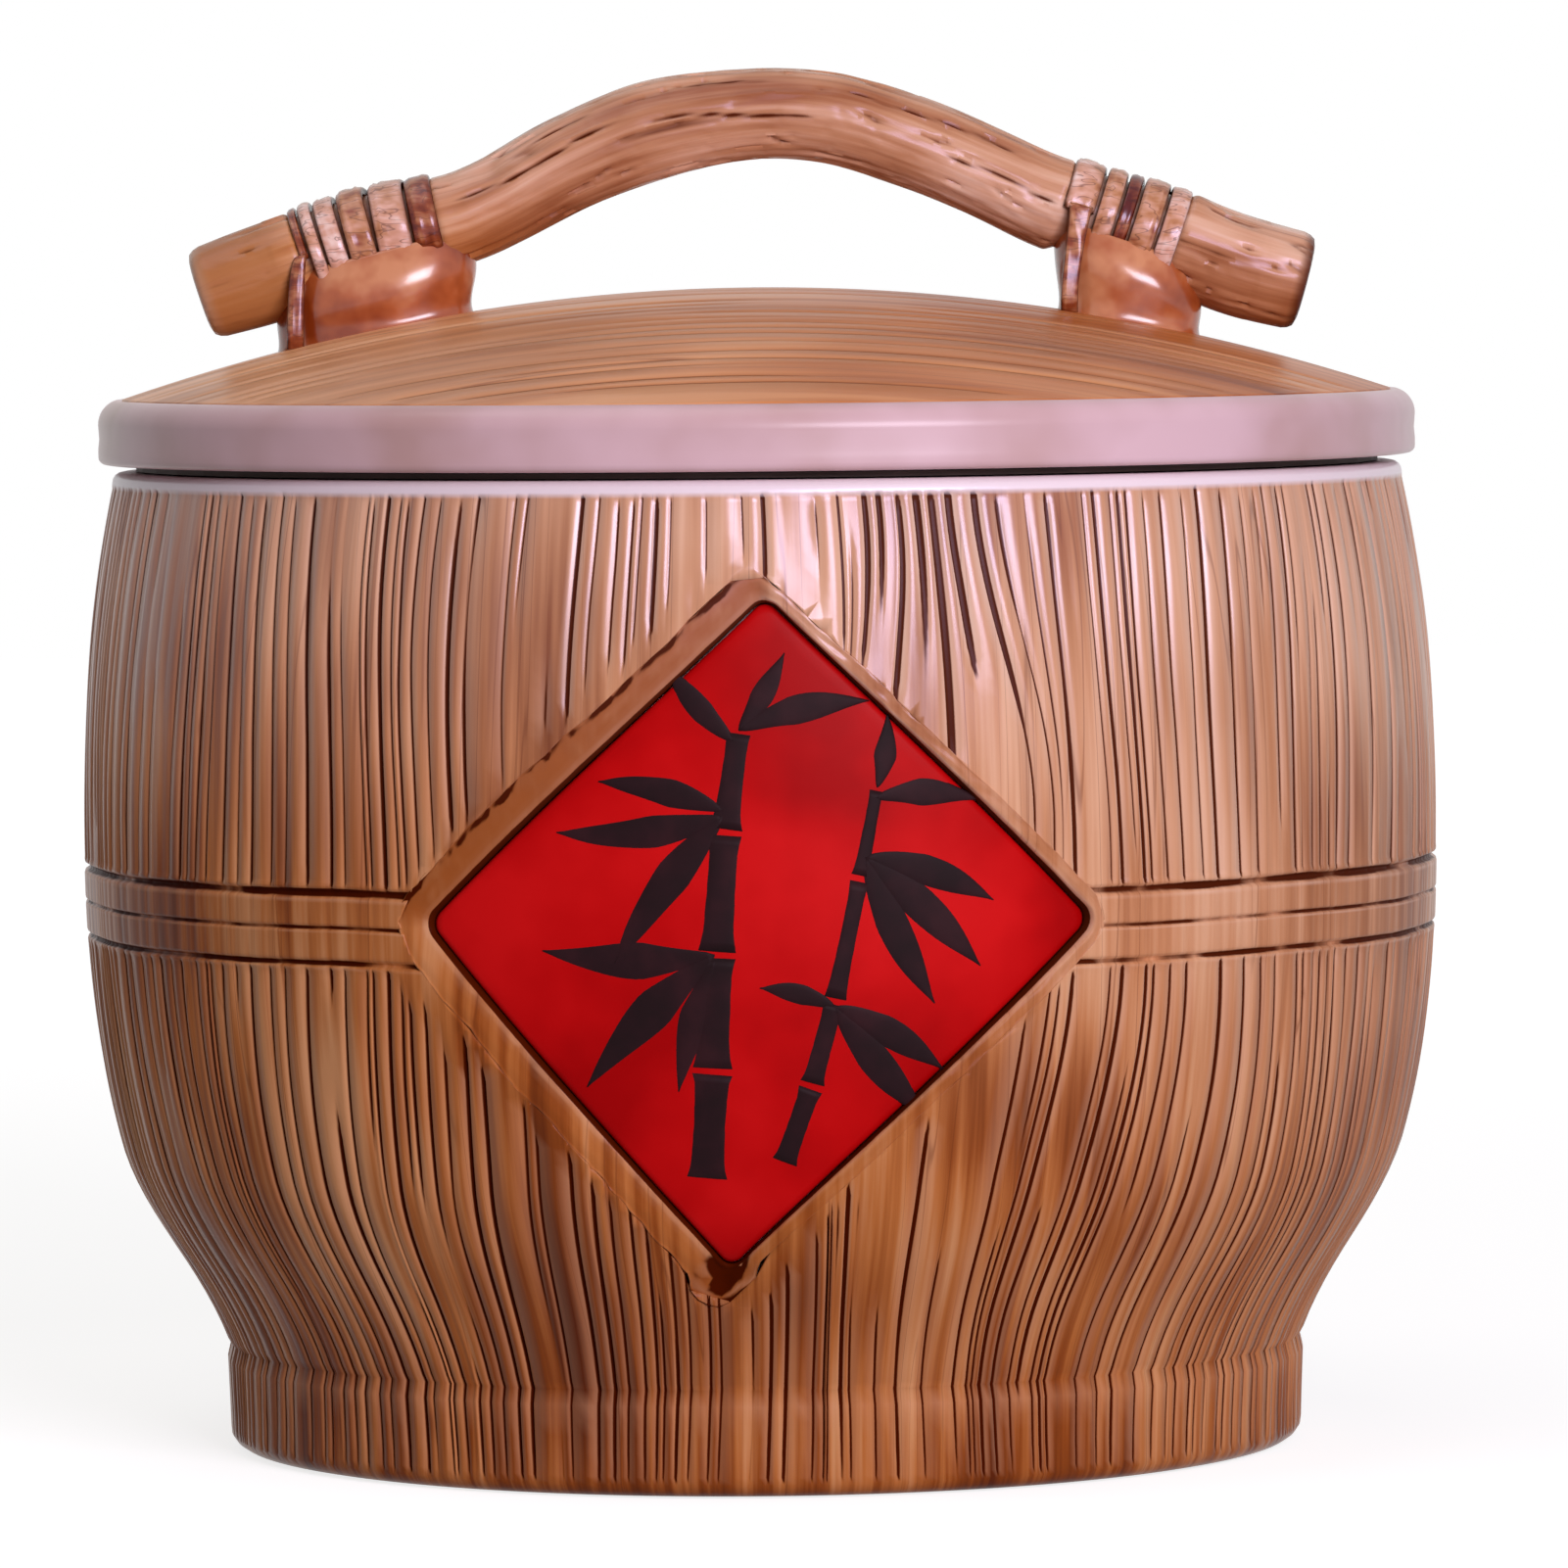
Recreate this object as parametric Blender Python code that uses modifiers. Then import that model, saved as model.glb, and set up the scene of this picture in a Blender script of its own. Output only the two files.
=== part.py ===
"""A lidded stoneware storage jar in the form of a coopered tub, with a branch for a handle.

Metres, +Z up. The origin is the centre of the foot, and the diamond faces -Y.
"""

import math

import bmesh
import bpy
from mathutils import Vector

# Clearance between neighbours; facets, joining distance and sharp edges of the meshes
GAP = 0.0003
FACETS = 60
MERGE_DISTANCE = 0.00001
SHARP_DEGREES = 35.0

# Rows of points on the outlines' rounded edges, on the dome, its hollow and the pot's inner wall
ROUND_STEPS = 3
DOME_STEPS = 6
HOLLOW_STEPS = 3
INNER_WALL_STEPS = 5

# Pot, outside: a smooth line through these heights, each ring drawn in from the belly by its
# inset, with the line's slope at each
BELLY_RADIUS = 0.135
BELLY_HEIGHT = 0.125
BASE_INSET = 0.0277
BASE_EDGE = 0.0040
FOOT_INSET = 0.0270
FOOT_HEIGHT = 0.022
FOOT_FLARE = 0.38
WAIST_INSET = 0.0173
WAIST_HEIGHT = 0.040
WAIST_FLARE = 0.66
HAUNCH_INSET = 0.0066
HAUNCH_HEIGHT = 0.061
HAUNCH_FLARE = 0.27
RIM_INSET = 0.0070
RIM_HEIGHT = 0.194
RIM_FLARE = -0.23
RIM_EDGE = 0.0020

# Pot, inside
WALL = 0.008
FLOOR = 0.009
FLOOR_FILLET = 0.012
FOOT_RING_WIDTH = 0.010
FOOT_RING_DEPTH = 0.003
RIM_LAND = 0.0110
THROAT_DEPTH = 0.010
THROAT_TAPER = 0.012

# Hoop: a band between two incised lines, with a finer line along its middle
HOOP_HEIGHT = 0.1093
HOOP_WIDTH = 0.0134
HOOP_LINE_WIDTH = 0.0018
HOOP_LINE_DEPTH = 0.0009
HOOP_MIDDLE_DEPTH = 0.0006

# Seams: V-shaped cuts between the staves, from the rim to the hoop and from the hoop down the foot.
# They are unevenly spaced, by a share of a stave, and drift to and fro on their way up; both waves
# come round so many times on the pot
STAVES = 44
SEAM_WIDTH = 0.0020
SEAM_DEPTH = 0.0009
SEAM_UNEVEN = 0.15
SEAM_UNEVEN_TURNS = 17
SEAM_DRIFT = 0.0014
SEAM_DRIFT_TURNS = 6
SEAM_DRIFT_RISE = 45.0
SEAM_END_GAP = 0.0008

# Right of the front the seams lean in towards the foot, and under the rim they spread apart: each
# place's arc length and reach, and the heights from which and to which it grows
LEAN = -0.0070
LEAN_PLACE = 0.062
LEAN_REACH = 0.062
LEAN_FROM = 0.100
LEAN_TO = 0.030
SPREAD_SHARE = 1.0
SPREAD_PLACE = 0.036
SPREAD_REACH = 0.024
SPREAD_FROM = 0.188
SPREAD_TO = 0.130

# Diamond: each corner's arc length from the front, and its height from the hoop's middle
DIAMOND_TOP = (0.0014, 0.0626)
DIAMOND_RIGHT = (0.0662, 0.0012)
DIAMOND_BOTTOM = (-0.0073, -0.0643)
DIAMOND_LEFT = (-0.0670, 0.0016)
BORDER_WIDTH = 0.0060
BORDER_STEP = 0.0010
BORDER_DROP = 0.0019
PLAQUE_SINK = 0.0006
PLAQUE_THICKNESS = 0.0022
PLAQUE_EDGE = 0.0005
DIAMOND_CELLS = 8
CUTTER_RUN = 0.0020

# Seal: a washer on the rim, with a collar and a lip inside the throat
SEAL_THICKNESS = 0.0010
SEAL_INSET = 0.0045
SEAL_COLLAR = 0.0018
SEAL_COLLAR_DEPTH = 0.0075
SEAL_LIP = 0.0010
SEAL_LIP_HEIGHT = 0.0030

# Lid
LID_OVERHANG = 0.0032
BAND_HEIGHT = 0.0130
BAND_EDGE = 0.0050
BAND_CREASE = 60.0
BAND_FOOT_EDGE = 0.0015
DOME_RISE = 0.021
DOME_POWER = 2.0
LID_WALL = 0.007
SKIRT_WALL = 0.005
SKIRT_DEPTH = 0.012

# Grain: long shallow cuts along the dome, running out before its edge
GRAIN_CUTS = 6
GRAIN_PITCH = 0.036
GRAIN_WIDTH = 0.0016
GRAIN_DEPTH = 0.0006
GRAIN_REACH = 0.78
GRAIN_STEPS = 8

# Handle branch from left to right: place along X, height over the dome, bark radius. Its right
# end lies an inset within the lid's edge, and its places and those of its lugs keep pace with it
BRANCH_LINE = (
    (-0.1105, -0.0008, 0.0093),
    (-0.0980, 0.0032, 0.0100),
    (-0.0780, 0.0097, 0.0100),
    (-0.0590, 0.0141, 0.0095),
    (-0.0500, 0.0179, 0.0093),
    (-0.0360, 0.0253, 0.0097),
    (-0.0200, 0.0313, 0.0101),
    (0.0000, 0.0343, 0.0092),
    (0.0150, 0.0336, 0.0093),
    (0.0300, 0.0289, 0.0093),
    (0.0450, 0.0225, 0.0092),
    (0.0580, 0.0166, 0.0094),
    (0.0700, 0.0126, 0.0098),
    (0.0840, 0.0078, 0.0102),
    (0.0970, 0.0030, 0.0102),
    (0.1095, -0.0004, 0.0099),
)
BRANCH_INSET = 0.0217
BRANCH_END_EDGE = 0.0010
BRANCH_LOBE = 0.0004
BRANCH_LOBE_TWIST = 45.0
BRANCH_SIDES = 20
BRANCH_STATIONS = 32

# Lashings: cord wound in a neck of the branch, with both tails running down to the dome
CORD_RADIUS = 0.0018
CORD_GAP = 0.0004
CORD_CREST = 0.0010
CORD_PITCH = 0.0044
CORD_POINTS = 20
NECK_EASE = 0.0012
TAIL_LEAN = 0.0020
TAIL_SPREAD = 0.0035
TAIL_POINTS = 6
LEFT_LASHING_X = -0.0762
LEFT_LASHING_TURNS = 5.5
RIGHT_LASHING_X = 0.0725
RIGHT_LASHING_TURNS = 4.5

# Lugs
LEFT_LUG_X = -0.0757
LEFT_LUG_WIDTH = 0.0372
RIGHT_LUG_X = 0.0742
RIGHT_LUG_WIDTH = 0.0264
LUG_DEPTH = 0.0220
LUG_FLARE = 0.0012
LUG_EDGE = 0.0014
LUG_SADDLE = 0.0070
LUG_ROOT = 0.0060
LUG_SQUARENESS = 2.5
LUG_SIDES = 28
LUG_EASE_FROM = 0.80
LUG_EASE_TO = 0.93
SADDLE_STEPS = 6

# Places that follow from the sizes above
BASE_RADIUS = BELLY_RADIUS - BASE_INSET
RIM_RADIUS = BELLY_RADIUS - RIM_INSET
LID_RADIUS = RIM_RADIUS + LID_OVERHANG
THROAT_RADIUS = RIM_RADIUS - RIM_LAND
SEAL_HEIGHT = RIM_HEIGHT + GAP
SEAL_INNER_RADIUS = THROAT_RADIUS - GAP - SEAL_LIP - SEAL_COLLAR
SKIRT_RADIUS = SEAL_INNER_RADIUS - GAP
LID_HEIGHT = SEAL_HEIGHT + SEAL_THICKNESS + GAP
DOME_RADIUS = LID_RADIUS - BAND_EDGE
DOME_TOP = BAND_HEIGHT + DOME_RISE
FLOOR_TOP = FOOT_RING_DEPTH + FLOOR
HANDLE_SPREAD = (LID_RADIUS - BRANCH_INSET) / BRANCH_LINE[-1][0]
BRANCH_LEFT = BRANCH_LINE[0][0] * HANDLE_SPREAD
BRANCH_RIGHT = BRANCH_LINE[-1][0] * HANDLE_SPREAD

POT_LINE = (
    (FOOT_HEIGHT, BELLY_RADIUS - FOOT_INSET, FOOT_FLARE),
    (WAIST_HEIGHT, BELLY_RADIUS - WAIST_INSET, WAIST_FLARE),
    (HAUNCH_HEIGHT, BELLY_RADIUS - HAUNCH_INSET, HAUNCH_FLARE),
    (BELLY_HEIGHT, BELLY_RADIUS, 0.0),
    (RIM_HEIGHT, RIM_RADIUS, RIM_FLARE),
)
POT_STEPS = (2, 3, 4, 4)


# Lines and outlines


def smooth_line(knots, at):
    """Value and slope at a place on the smooth line through (place, value, slope) knots."""
    for low, high in zip(knots, knots[1:]):
        if at <= high[0]:
            break
    span = high[0] - low[0]
    t = (at - low[0]) / span
    value = (
        (2 * t**3 - 3 * t**2 + 1) * low[1]
        + (t**3 - 2 * t**2 + t) * span * low[2]
        + (3 * t**2 - 2 * t**3) * high[1]
        + (t**3 - t**2) * span * high[2]
    )
    slope = (
        (6 * t**2 - 6 * t) * (low[1] - high[1]) / span
        + (3 * t**2 - 4 * t + 1) * low[2]
        + (3 * t**2 - 2 * t) * high[2]
    )
    return value, slope


def arc(centre_radius, centre_height, size, start, end, steps):
    """Points on an arc of an outline, with angles in degrees up from the outward direction."""
    angles = [math.radians(start + (end - start) * i / steps) for i in range(steps + 1)]
    return [
        (centre_radius + size * math.cos(a), centre_height + size * math.sin(a)) for a in angles
    ]


def spaced(low, high, steps):
    return [low + (high - low) * i / steps for i in range(steps + 1)]


def eased(start, end, at):
    """0 at the start, 1 at the end, smooth between; the start may be the larger of the two."""
    t = min(max((at - start) / (end - start), 0.0), 1.0)
    return t * t * (3.0 - 2.0 * t)


def window(at, place, reach):
    """1 at a place, falling smoothly to 0 a reach away."""
    return max(0.0, 1.0 - ((at - place) / reach) ** 2) ** 2


def pot_radius(height):
    """The pot's outer radius at a height above the foot."""
    return smooth_line(POT_LINE, height)[0]


def pot_inner_radius(height):
    """The wall is measured square to the outer line."""
    radius, slope = smooth_line(POT_LINE, max(height, FOOT_HEIGHT))
    return radius - WALL * math.hypot(1.0, slope)


def pot_outer_points():
    """The pot's outside from under the rim's edge down to the foot, with the hoop's lines cut in."""
    half_line = HOOP_LINE_WIDTH / 2
    cuts = (
        (HOOP_HEIGHT + HOOP_WIDTH / 2, HOOP_LINE_DEPTH),
        (HOOP_HEIGHT, HOOP_MIDDLE_DEPTH),
        (HOOP_HEIGHT - HOOP_WIDTH / 2, HOOP_LINE_DEPTH),
    )
    rows = {}
    for low, high, steps in zip(POT_LINE, POT_LINE[1:], POT_STEPS):
        for height in spaced(low[0], high[0], steps):
            clear = height < RIM_HEIGHT - 2 * RIM_EDGE
            clear = clear and abs(height - HOOP_HEIGHT) > HOOP_WIDTH / 2 + HOOP_LINE_WIDTH
            if clear:
                rows[height] = 0.0
    for middle, depth in cuts:
        rows[middle - half_line] = 0.0
        rows[middle] = depth
        rows[middle + half_line] = 0.0
    heights = sorted(rows, reverse=True)
    return [(pot_radius(height) - rows[height], height) for height in heights]


def pot_outline():
    """From the middle of the floor, up the inside, over the rim, down the outside and under."""
    fillet_height = FLOOR_TOP + FLOOR_FILLET
    fillet_radius = pot_inner_radius(fillet_height) - FLOOR_FILLET
    throat_foot = RIM_HEIGHT - THROAT_DEPTH
    wall_top = throat_foot - THROAT_TAPER
    edge_height = RIM_HEIGHT - RIM_EDGE
    edge_radius = pot_radius(edge_height) - RIM_EDGE
    ring_inner = BASE_RADIUS - BASE_EDGE - FOOT_RING_WIDTH
    inside = [(0.0, FLOOR_TOP)]
    inside += arc(fillet_radius, fillet_height, FLOOR_FILLET, -90, 0, ROUND_STEPS)
    wall_heights = spaced(fillet_height, wall_top, INNER_WALL_STEPS)
    inside += [(pot_inner_radius(height), height) for height in wall_heights[1:]]
    inside += [(THROAT_RADIUS, throat_foot), (THROAT_RADIUS, RIM_HEIGHT)]
    rim = arc(edge_radius, edge_height, RIM_EDGE, 90, 0, ROUND_STEPS)
    foot = arc(BASE_RADIUS - BASE_EDGE, BASE_EDGE, BASE_EDGE, 0, -90, ROUND_STEPS)
    under = [(ring_inner, 0.0), (ring_inner - FOOT_RING_DEPTH, FOOT_RING_DEPTH), (0.0, FOOT_RING_DEPTH)]
    return inside + rim + pot_outer_points() + foot + under


def dome_height(radius):
    """The lid's outer dome above the foot of its band."""
    return BAND_HEIGHT + DOME_RISE * (1.0 - (radius / DOME_RADIUS) ** DOME_POWER)


def dome_slope(radius):
    fall = (radius / DOME_RADIUS) ** (DOME_POWER - 1.0)
    return -DOME_RISE * DOME_POWER / DOME_RADIUS * fall


def dome_normal(x, y):
    radius = math.hypot(x, y)
    slope = dome_slope(radius)
    return Vector((-slope * x / radius, -slope * y / radius, 1.0)).normalized()


def lid_outline():
    """From the dome's top down the outside, round the band, along the skirt and back inside."""
    skirt_inner = SKIRT_RADIUS - SKIRT_WALL
    dome = [(r, dome_height(r)) for r in spaced(0.0, DOME_RADIUS, DOME_STEPS)]
    shoulder = arc(DOME_RADIUS, BAND_HEIGHT - BAND_EDGE, BAND_EDGE, BAND_CREASE, 0, ROUND_STEPS)
    foot_radius = LID_RADIUS - BAND_FOOT_EDGE
    foot = arc(foot_radius, BAND_FOOT_EDGE, BAND_FOOT_EDGE, 0, -90, ROUND_STEPS)
    skirt = [(SKIRT_RADIUS, 0.0), (SKIRT_RADIUS, -SKIRT_DEPTH), (skirt_inner, -SKIRT_DEPTH)]
    hollow = [(r, dome_height(r) - LID_WALL) for r in spaced(skirt_inner, 0.0, HOLLOW_STEPS)]
    return dome + shoulder + foot + skirt + hollow


def dome_point(x, y, out):
    return Vector((x, y, dome_height(math.hypot(x, y)) + out))


def grain_cutter():
    """Straight V cuts from side to side of the dome, spread evenly from front to back."""
    skins = []
    for index in range(GRAIN_CUTS):
        y = GRAIN_PITCH * (index - (GRAIN_CUTS - 1) / 2)
        half_length = GRAIN_REACH * math.sqrt(DOME_RADIUS**2 - y**2)
        rings = []
        for step, x in enumerate(spaced(-half_length, half_length, GRAIN_STEPS)):
            runs_out = step in (0, GRAIN_STEPS)
            bottom = GRAIN_DEPTH / 2 if runs_out else -GRAIN_DEPTH
            arms = [dome_point(x, y + side * GRAIN_WIDTH, GRAIN_DEPTH) for side in (1, -1)]
            rings.append([dome_point(x, y, bottom), *arms])
        skins.append(rings)
    return lofted("grain_cutter", *skins)


def seal_outline():
    """The ring's section, closed, from the washer's top edge round the collar and its lip."""
    washer_radius = RIM_RADIUS - SEAL_INSET
    collar_radius = SEAL_INNER_RADIUS + SEAL_COLLAR
    return [
        (washer_radius, SEAL_THICKNESS),
        (washer_radius, 0.0),
        (collar_radius, 0.0),
        (collar_radius, SEAL_LIP_HEIGHT - SEAL_COLLAR_DEPTH),
        (collar_radius + SEAL_LIP, SEAL_LIP_HEIGHT / 2 - SEAL_COLLAR_DEPTH),
        (collar_radius, -SEAL_COLLAR_DEPTH),
        (SEAL_INNER_RADIUS, -SEAL_COLLAR_DEPTH),
        (SEAL_INNER_RADIUS, SEAL_THICKNESS),
    ]


# Objects, materials and places


def clear_scene():
    for item in list(bpy.data.objects):
        bpy.data.objects.remove(item, do_unlink=True)


def new_collection(name):
    collection = bpy.data.collections.new(name)
    bpy.context.scene.collection.children.link(collection)
    return collection


def new_material(name, colour, roughness):
    material = bpy.data.materials.new(name)
    material.use_nodes = True
    shader = material.node_tree.nodes["Principled BSDF"]
    shader.inputs["Base Color"].default_value = (*colour, 1.0)
    shader.inputs["Roughness"].default_value = roughness
    shader.inputs["Metallic"].default_value = 0.0
    return material


def shade(mesh):
    mesh.shade_smooth()
    mesh.set_sharp_from_angle(angle=math.radians(SHARP_DEGREES))


def put(item, collection, parent=None, place=(0.0, 0.0, 0.0)):
    collection.objects.link(item)
    item.parent = parent
    item.location = place
    return item


def closed_object(name, work):
    """An object from finished bmesh work, with every face turned outwards."""
    work.normal_update()
    bmesh.ops.recalc_face_normals(work, faces=work.faces[:])
    mesh = bpy.data.meshes.new(name)
    work.to_mesh(mesh)
    work.free()
    shade(mesh)
    return bpy.data.objects.new(name, mesh)


def settled(item):
    """The object again as a plain mesh, from its modifiers or its curve, with doubled points joined."""
    bpy.context.scene.collection.objects.link(item)
    graph = bpy.context.evaluated_depsgraph_get()
    mesh = bpy.data.meshes.new_from_object(item.evaluated_get(graph))
    name = item.name
    bpy.data.objects.remove(item, do_unlink=True)
    work = bmesh.new()
    work.from_mesh(mesh)
    bpy.data.meshes.remove(mesh)
    bmesh.ops.remove_doubles(work, verts=work.verts[:], dist=MERGE_DISTANCE)
    return closed_object(name, work)


def add_skin(work, rings):
    """Adds a closed skin through rings of as many points each, with a flat cap at both ends."""
    rows = [[work.verts.new(point) for point in ring] for ring in rings]
    for near, far in zip(rows, rows[1:]):
        for i in range(len(near)):
            after = (i + 1) % len(near)
            work.faces.new((near[i], near[after], far[after], far[i]))
    work.faces.new(rows[0])
    work.faces.new(rows[-1])


def lofted(name, *skins):
    """An object of one or more closed skins, each given by its rings."""
    work = bmesh.new()
    for rings in skins:
        add_skin(work, rings)
    return closed_object(name, work)


def turned(name, outline, closed=False):
    """An object turned from an outline of (radius, height) points."""
    profile = bpy.data.meshes.new(name)
    last = len(outline) if closed else len(outline) - 1
    edges = [(i, (i + 1) % len(outline)) for i in range(last)]
    profile.from_pydata([(r, 0.0, z) for r, z in outline], edges, [])
    item = bpy.data.objects.new(name, profile)
    screw = item.modifiers.new("Turn", "SCREW")
    screw.steps = FACETS
    screw.render_steps = FACETS
    screw.use_merge_vertices = True
    screw.merge_threshold = MERGE_DISTANCE
    return settled(item)


def cutter(item, collection, parent=None, place=(0.0, 0.0, 0.0)):
    put(item, collection, parent, place)
    item.hide_render = True
    item.display_type = "WIRE"
    return item


def cut(item, tool):
    boolean = item.modifiers.new(tool.name, "BOOLEAN")
    boolean.operation = "DIFFERENCE"
    boolean.solver = "EXACT"
    boolean.object = tool


# Seams


def skin_radius(height):
    """The pot's skin at a height, also down the foot's straight side."""
    if height >= FOOT_HEIGHT:
        return pot_radius(height)
    share = (height - BASE_EDGE) / (FOOT_HEIGHT - BASE_EDGE)
    return BASE_RADIUS + share * (pot_radius(FOOT_HEIGHT) - BASE_RADIUS)


def seam_arc(index, height):
    """A seam's arc length from the front, at the belly's size."""
    turn = math.tau * index / STAVES
    place = index + SEAM_UNEVEN * math.sin(SEAM_UNEVEN_TURNS * turn)
    along = math.tau * BELLY_RADIUS * place / STAVES
    drift = SEAM_DRIFT * math.sin(SEAM_DRIFT_RISE * height + SEAM_DRIFT_TURNS * turn)
    lean = LEAN * window(along, LEAN_PLACE, LEAN_REACH)
    apart = SPREAD_SHARE * (along - SPREAD_PLACE) * window(along, SPREAD_PLACE, SPREAD_REACH)
    lean *= eased(LEAN_FROM, LEAN_TO, height)
    apart *= eased(SPREAD_FROM, SPREAD_TO, height)
    return along + drift + lean + apart


def seam_ring(index, height):
    """A V across a seam: its bottom in the wall and both its arms as far outside."""
    angle = seam_arc(index, height) / BELLY_RADIUS
    radius = skin_radius(height)
    ring = []
    for across, out in ((0.0, -SEAM_DEPTH), (SEAM_WIDTH, SEAM_DEPTH), (-SEAM_WIDTH, SEAM_DEPTH)):
        turn = angle + across / radius
        reach = radius + out
        ring.append(Vector((reach * math.sin(turn), -reach * math.cos(turn), height)))
    return ring


def seam_cutter():
    """All seams in one cutter, each bent at the outline's own rows."""
    band = HOOP_WIDTH / 2 + HOOP_LINE_WIDTH / 2 + SEAM_END_GAP
    runs = (
        (BASE_EDGE + SEAM_END_GAP, HOOP_HEIGHT - band),
        (HOOP_HEIGHT + band, RIM_HEIGHT - RIM_EDGE - SEAM_END_GAP),
    )
    rows = [height for _, height in reversed(pot_outer_points())]
    skins = []
    for index in range(STAVES):
        for low, high in runs:
            heights = [low, *[height for height in rows if low < height < high], high]
            skins.append([seam_ring(index, height) for height in heights])
    return lofted("seam_cutter", *skins)


# Diamond


def outline_moved_out(corners, distance):
    """The corners of a four-sided outline, given clockwise, with every side moved out."""
    moved = []
    for i, corner in enumerate(corners):
        before = (Vector(corner) - Vector(corners[i - 1])).normalized()
        after = (Vector(corners[(i + 1) % len(corners)]) - Vector(corner)).normalized()
        normal_before = Vector((-before.y, before.x))
        normal_after = Vector((-after.y, after.x))
        share = distance / (1.0 + normal_before.dot(normal_after))
        moved.append(Vector(corner) + (normal_before + normal_after) * share)
    return moved


def on_belly(arc_length, rise, depth):
    """A point by its arc length from the front, its height from the hoop and its depth."""
    height = HOOP_HEIGHT + rise
    angle = arc_length / BELLY_RADIUS
    radius = pot_radius(height) - depth
    return Vector((radius * math.sin(angle), -radius * math.cos(angle), height))


def belly_panel(name, *sizes):
    """A diamond wrapped on the belly, through layers of (distance moved out, depth)."""
    corners = (DIAMOND_TOP, DIAMOND_RIGHT, DIAMOND_BOTTOM, DIAMOND_LEFT)
    layers = [(outline_moved_out(corners, distance), depth) for distance, depth in sizes]
    work = bmesh.new()
    bmesh.ops.create_grid(work, x_segments=DIAMOND_CELLS, y_segments=DIAMOND_CELLS, size=1.0)
    moving = work.faces[:]
    for _ in layers[1:]:
        grown = bmesh.ops.extrude_face_region(work, geom=moving)["geom"]
        lifted = [part for part in grown if isinstance(part, bmesh.types.BMVert)]
        moving = [part for part in grown if isinstance(part, bmesh.types.BMFace)]
        bmesh.ops.translate(work, verts=lifted, vec=(0.0, 0.0, 1.0))
    outer = (0, len(layers) - 1)
    inner = [f for f in work.faces if all(round(v.co.z) not in outer for v in f.verts)]
    bmesh.ops.delete(work, geom=inner, context="FACES")
    for vert in work.verts:
        across = (vert.co.x + 1.0) / 2
        down = (vert.co.y + 1.0) / 2
        (first, second, third, fourth), depth = layers[round(vert.co.z)]
        near = first.lerp(second, across)
        far = fourth.lerp(third, across)
        spot = near.lerp(far, down)
        vert.co = on_belly(spot.x, spot.y, depth)
    return closed_object(name, work)


def add_pot(parts, cutters):
    pot = put(turned("jar_body", pot_outline()), parts)
    cut(pot, cutter(seam_cutter(), cutters))
    fall = (BORDER_DROP - BORDER_STEP) / (BORDER_WIDTH - GAP)
    above = (BORDER_WIDTH, -CUTTER_RUN)
    step = (BORDER_WIDTH, BORDER_STEP)
    inmost = (GAP - CUTTER_RUN, BORDER_DROP + CUTTER_RUN * fall)
    cut(pot, cutter(belly_panel("border_cutter", inmost, step, above), cutters))
    pocket_depth = BORDER_DROP + PLAQUE_SINK + PLAQUE_THICKNESS + GAP
    pocket = belly_panel("pocket_cutter", (GAP, pocket_depth), (GAP, -CUTTER_RUN))
    cut(pot, cutter(pocket, cutters))
    return pot


def add_plaque(parts):
    face = BORDER_DROP + PLAQUE_SINK
    back = face + PLAQUE_THICKNESS
    plaque = put(belly_panel("diamond_plaque", (0.0, back), (0.0, face)), parts)
    bevel = plaque.modifiers.new("Edge", "BEVEL")
    bevel.width = PLAQUE_EDGE
    bevel.segments = 1
    bevel.limit_method = "ANGLE"
    bevel.angle_limit = math.radians(50.0)
    return plaque


# Handle branch, in the frame of the lid with the dome's top at its origin


def lashing_span(middle, turns):
    half = turns * CORD_PITCH / 2
    return middle - half, middle + half


LASHINGS = (
    lashing_span(LEFT_LASHING_X * HANDLE_SPREAD, LEFT_LASHING_TURNS),
    lashing_span(RIGHT_LASHING_X * HANDLE_SPREAD, RIGHT_LASHING_TURNS),
)


def branch_knots(column):
    """A column of the branch's points, each with the slope between its neighbours."""
    knots = []
    for i, point in enumerate(BRANCH_LINE):
        before = BRANCH_LINE[max(i - 1, 0)]
        after = BRANCH_LINE[min(i + 1, len(BRANCH_LINE) - 1)]
        slope = (after[column] - before[column]) / (after[0] - before[0]) / HANDLE_SPREAD
        knots.append((point[0] * HANDLE_SPREAD, point[column], slope))
    return knots


HEIGHT_KNOTS = branch_knots(1)
BARK_KNOTS = branch_knots(2)


def branch_frame(x):
    """The middle line's point at x, with the directions along it and square above it."""
    height, slope = smooth_line(HEIGHT_KNOTS, x)
    along = Vector((1.0, 0.0, slope)).normalized()
    above = Vector((-along.z, 0.0, along.x))
    return Vector((x, 0.0, height)), along, above


def bark_radius(x):
    return smooth_line(BARK_KNOTS, x)[0]


def neck_share(x):
    """1 where a lashing lies, 0 on open bark, eased between."""
    share = 0.0
    for start, end in LASHINGS:
        half = (end - start) / 2 + CORD_RADIUS + CORD_GAP
        share = max(share, eased(half + NECK_EASE, half, abs(x - (start + end) / 2)))
    return share


def branch_section(x, grow, sides):
    """One ring of points round the branch, with its bark's soft lobes."""
    centre, _, above = branch_frame(x)
    share = neck_share(x)
    neck_depth = 2 * CORD_RADIUS + CORD_GAP - CORD_CREST
    ring = []
    for i in range(sides):
        angle = math.tau * i / sides
        lobe = math.sin(2 * angle + BRANCH_LOBE_TWIST * x)
        lobe += math.sin(5 * angle - BRANCH_LOBE_TWIST * x) / 2
        radius = bark_radius(x) + grow + BRANCH_LOBE * lobe * (1.0 - share)
        radius -= neck_depth * share
        ring.append(centre + radius * (math.cos(angle) * above + Vector((0.0, math.sin(angle), 0.0))))
    return ring


def round_section(x, radius, sides):
    centre, _, above = branch_frame(x)
    angles = [math.tau * i / sides for i in range(sides)]
    return [
        centre + radius * (math.cos(a) * above + Vector((0.0, math.sin(a), 0.0))) for a in angles
    ]


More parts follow.
